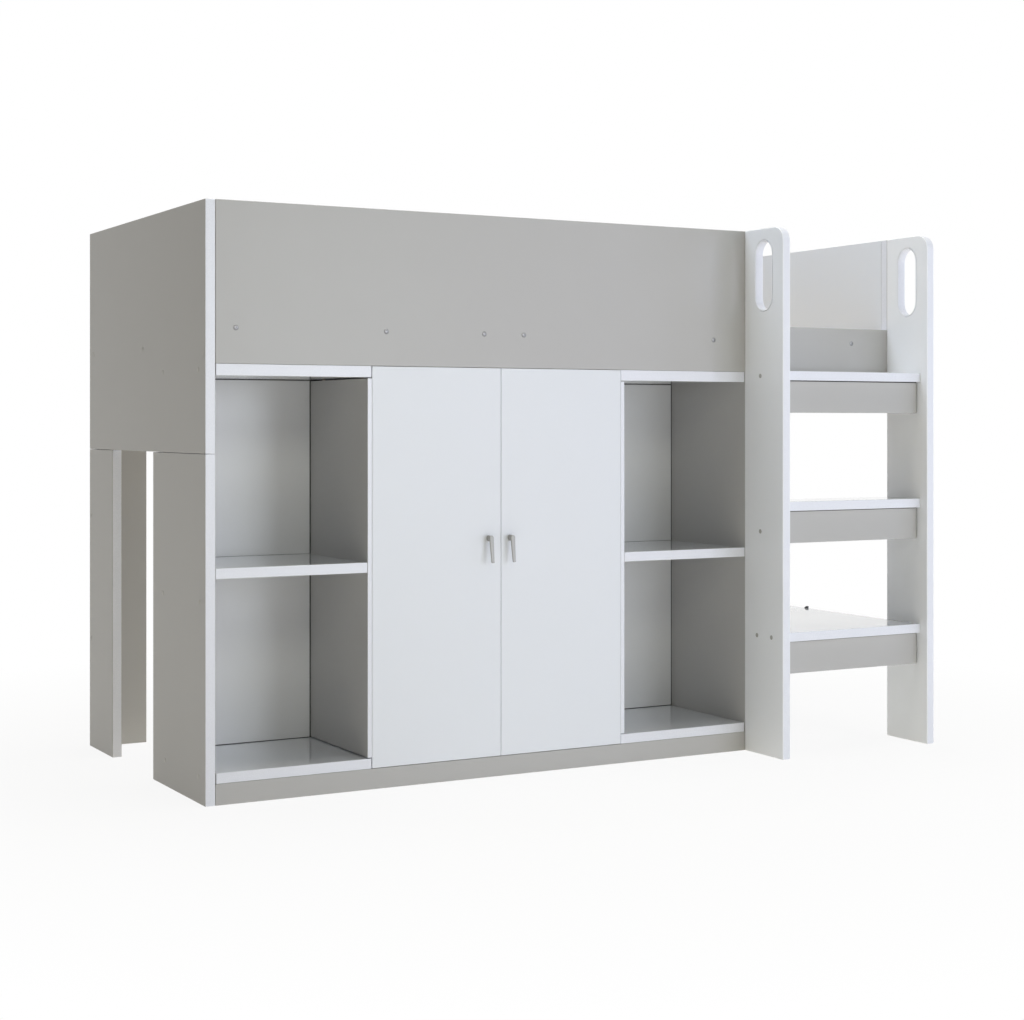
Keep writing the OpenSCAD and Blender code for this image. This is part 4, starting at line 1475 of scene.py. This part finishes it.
@dataclass
class Studio:
    """Camera, floor, lamps and surroundings.

    Attributes:
        eye: The camera's place.
        heading: The camera's turn to the right of +Y, in degrees.
        lens: Its focal length, in millimetres.
        sensor: Width of its sensor, in millimetres.
        shift: Its shift, as shares of the picture's width.
        surround: Brightness of the surroundings as the object's light.
        bounce: Warm light that the floor gives the object besides what it returns.
        floor: Half the floor's side.
        paper: Level of its paper, linear.
        shadow: Share of the floor's own light that the camera sees round the object, under
            plain white.
        fade: Distances from the middle at which that share starts to fade and is gone.
        lamps: The soft boxes.
    """

    eye: Point = (-2.494, -4.580, 0.897)
    heading: float = 29.54
    lens: float = 65.83
    sensor: float = 36.0
    shift: tuple[float, float] = (-0.0322, -0.08555)
    surround: float = 0.02
    bounce: Colour = (0.4, 0.38, 0.33)
    floor: float = 40.0
    paper: float = 0.86
    shadow: float = 0.1
    fade: tuple[float, float] = (1.0, 2.4)
    lamps: tuple[Lamp, ...] = (
        Lamp("high_left_box", (-1.2, -4.6, 3.0), (-0.9, -0.39, 0.8), (1.2, 1.0), 23.5, (1.05, 1.04, 0.91)),
        Lamp("front_right_box", (1.6, -6.5, 1.2), MIDDLE, (1.6, 2.2), 55.5, (0.93, 0.995, 1.075)),
        Lamp("far_right_box", (3.2, -6.0, 1.2), MIDDLE, (1.6, 2.2), 29.0, (0.94, 0.89, 1.17)),
        Lamp("high_right_box", (3.0, -5.0, 3.8), MIDDLE, (2.4, 2.0), 33.0, (0.83, 1.02, 1.15)),
        Lamp("right_box", (6.0, -1.0, 2.0), MIDDLE, (3.0, 3.0), 70.0),
        Lamp("low_right_box", (5.5, -3.5, 1.0), MIDDLE, (1.8, 1.6), 32.0, (0.81, 0.925, 1.265)),
        Lamp("top_box", (0.0, 0.0, 5.0), (0.0, 0.0, 0.6), (3.0, 3.0), 113.0, (1.1, 1.03, 0.87)),
        Lamp("inner_box", (-0.4, 0.1, 2.8), (1.0, 0.0, 1.2), (1.2, 1.2), 15.0, (0.83, 0.96, 1.21)),
        Lamp("back_box", (2.4, 6.0, 2.6), (0.0, 0.3, 0.7), (3.0, 3.0), 80.0),
    )

    def build(self) -> None:
        """Makes camera, floor, lamps and world."""
        self._camera()
        self._floor()
        self._world()
        for lamp in self.lamps:
            lamp.build()
        bpy.context.scene.view_settings.view_transform = "Standard"

    def _camera(self) -> None:
        """The camera, level, at the photograph's place and heading."""
        data = bpy.data.cameras.new("camera")
        data.sensor_fit, data.sensor_width, data.lens = "HORIZONTAL", self.sensor, self.lens
        data.shift_x, data.shift_y = self.shift
        data.clip_end = 200.0
        camera = bpy.data.objects.new("camera", data)
        camera.location = self.eye
        camera.rotation_euler = (math.pi / 2, 0.0, -math.radians(self.heading))
        bpy.context.scene.collection.objects.link(camera)
        bpy.context.scene.camera = camera

    def _floor(self) -> None:
        """A wide pale floor: white to the camera, under a share of its own light and shadow.
        From below it is clear."""
        mesh = bpy.data.meshes.new("floor")
        corners = rectangle((-self.floor, -self.floor), (self.floor, self.floor))
        mesh.from_pydata([(x, y, 0.0) for x, y in corners.tolist()], [], [(0, 1, 2, 3)])
        floor = bpy.data.objects.new("floor", mesh)
        bpy.context.scene.collection.objects.link(floor)
        material = bpy.data.materials.new("floor_paper")
        graph = Graph(material)
        seen = graph.seen()
        x, y, _ = graph.split(graph.object_coordinates())
        start, end = self.fade
        near = (end - (x * x + y * y).apply("SQRT")) / (end - start)
        share = near.apply("MINIMUM", 1.0).apply("MAXIMUM", 0.0) * self.shadow
        paper = graph.node("ShaderNodeBsdfDiffuse", None, (self.paper, self.paper, self.paper, 1.0))
        bounce = graph.node("ShaderNodeEmission", None, (*self.bounce, 1.0), 1 - seen)
        paper = graph.node("ShaderNodeAddShader", None, paper, bounce)
        glow = graph.node("ShaderNodeEmission", None, (1.0, 1.0, 1.0, 1.0), 1.0)
        upper = graph.node("ShaderNodeMixShader", None, seen * (1 - share), paper, glow)
        below = graph.node("ShaderNodeNewGeometry", out="Backfacing")
        clear = graph.node("ShaderNodeBsdfTransparent")
        graph.finish(graph.node("ShaderNodeMixShader", None, below, upper, clear))
        mesh.materials.append(material)

    def _world(self) -> None:
        """White to the camera and to glossy rays, and the object's soft surrounding light."""
        world = bpy.data.worlds.new("surroundings")
        bpy.context.scene.world = world
        graph = Graph(world)
        around, plain = (
            graph.node("ShaderNodeBackground", None, (1.0, 1.0, 1.0, 1.0), strength)
            for strength in (self.surround, 1.0)
        )
        shown = graph.node("ShaderNodeMixShader", None, graph.seen(), around, plain)
        graph.finish(shown, "ShaderNodeOutputWorld")


def main() -> None:
    """Builds the studio and the bed's groups in order."""
    logging.basicConfig(level=logging.INFO, format="%(name)s: %(message)s")
    Studio().build()
    for group in (EndsAndGuards(), StorageUnit(), Doors(), Ladder(), MattressSupport(), Fixings()):
        LOG.info("building %s", type(group).__name__)
        group.build()


if __name__ == "__main__":
    main()
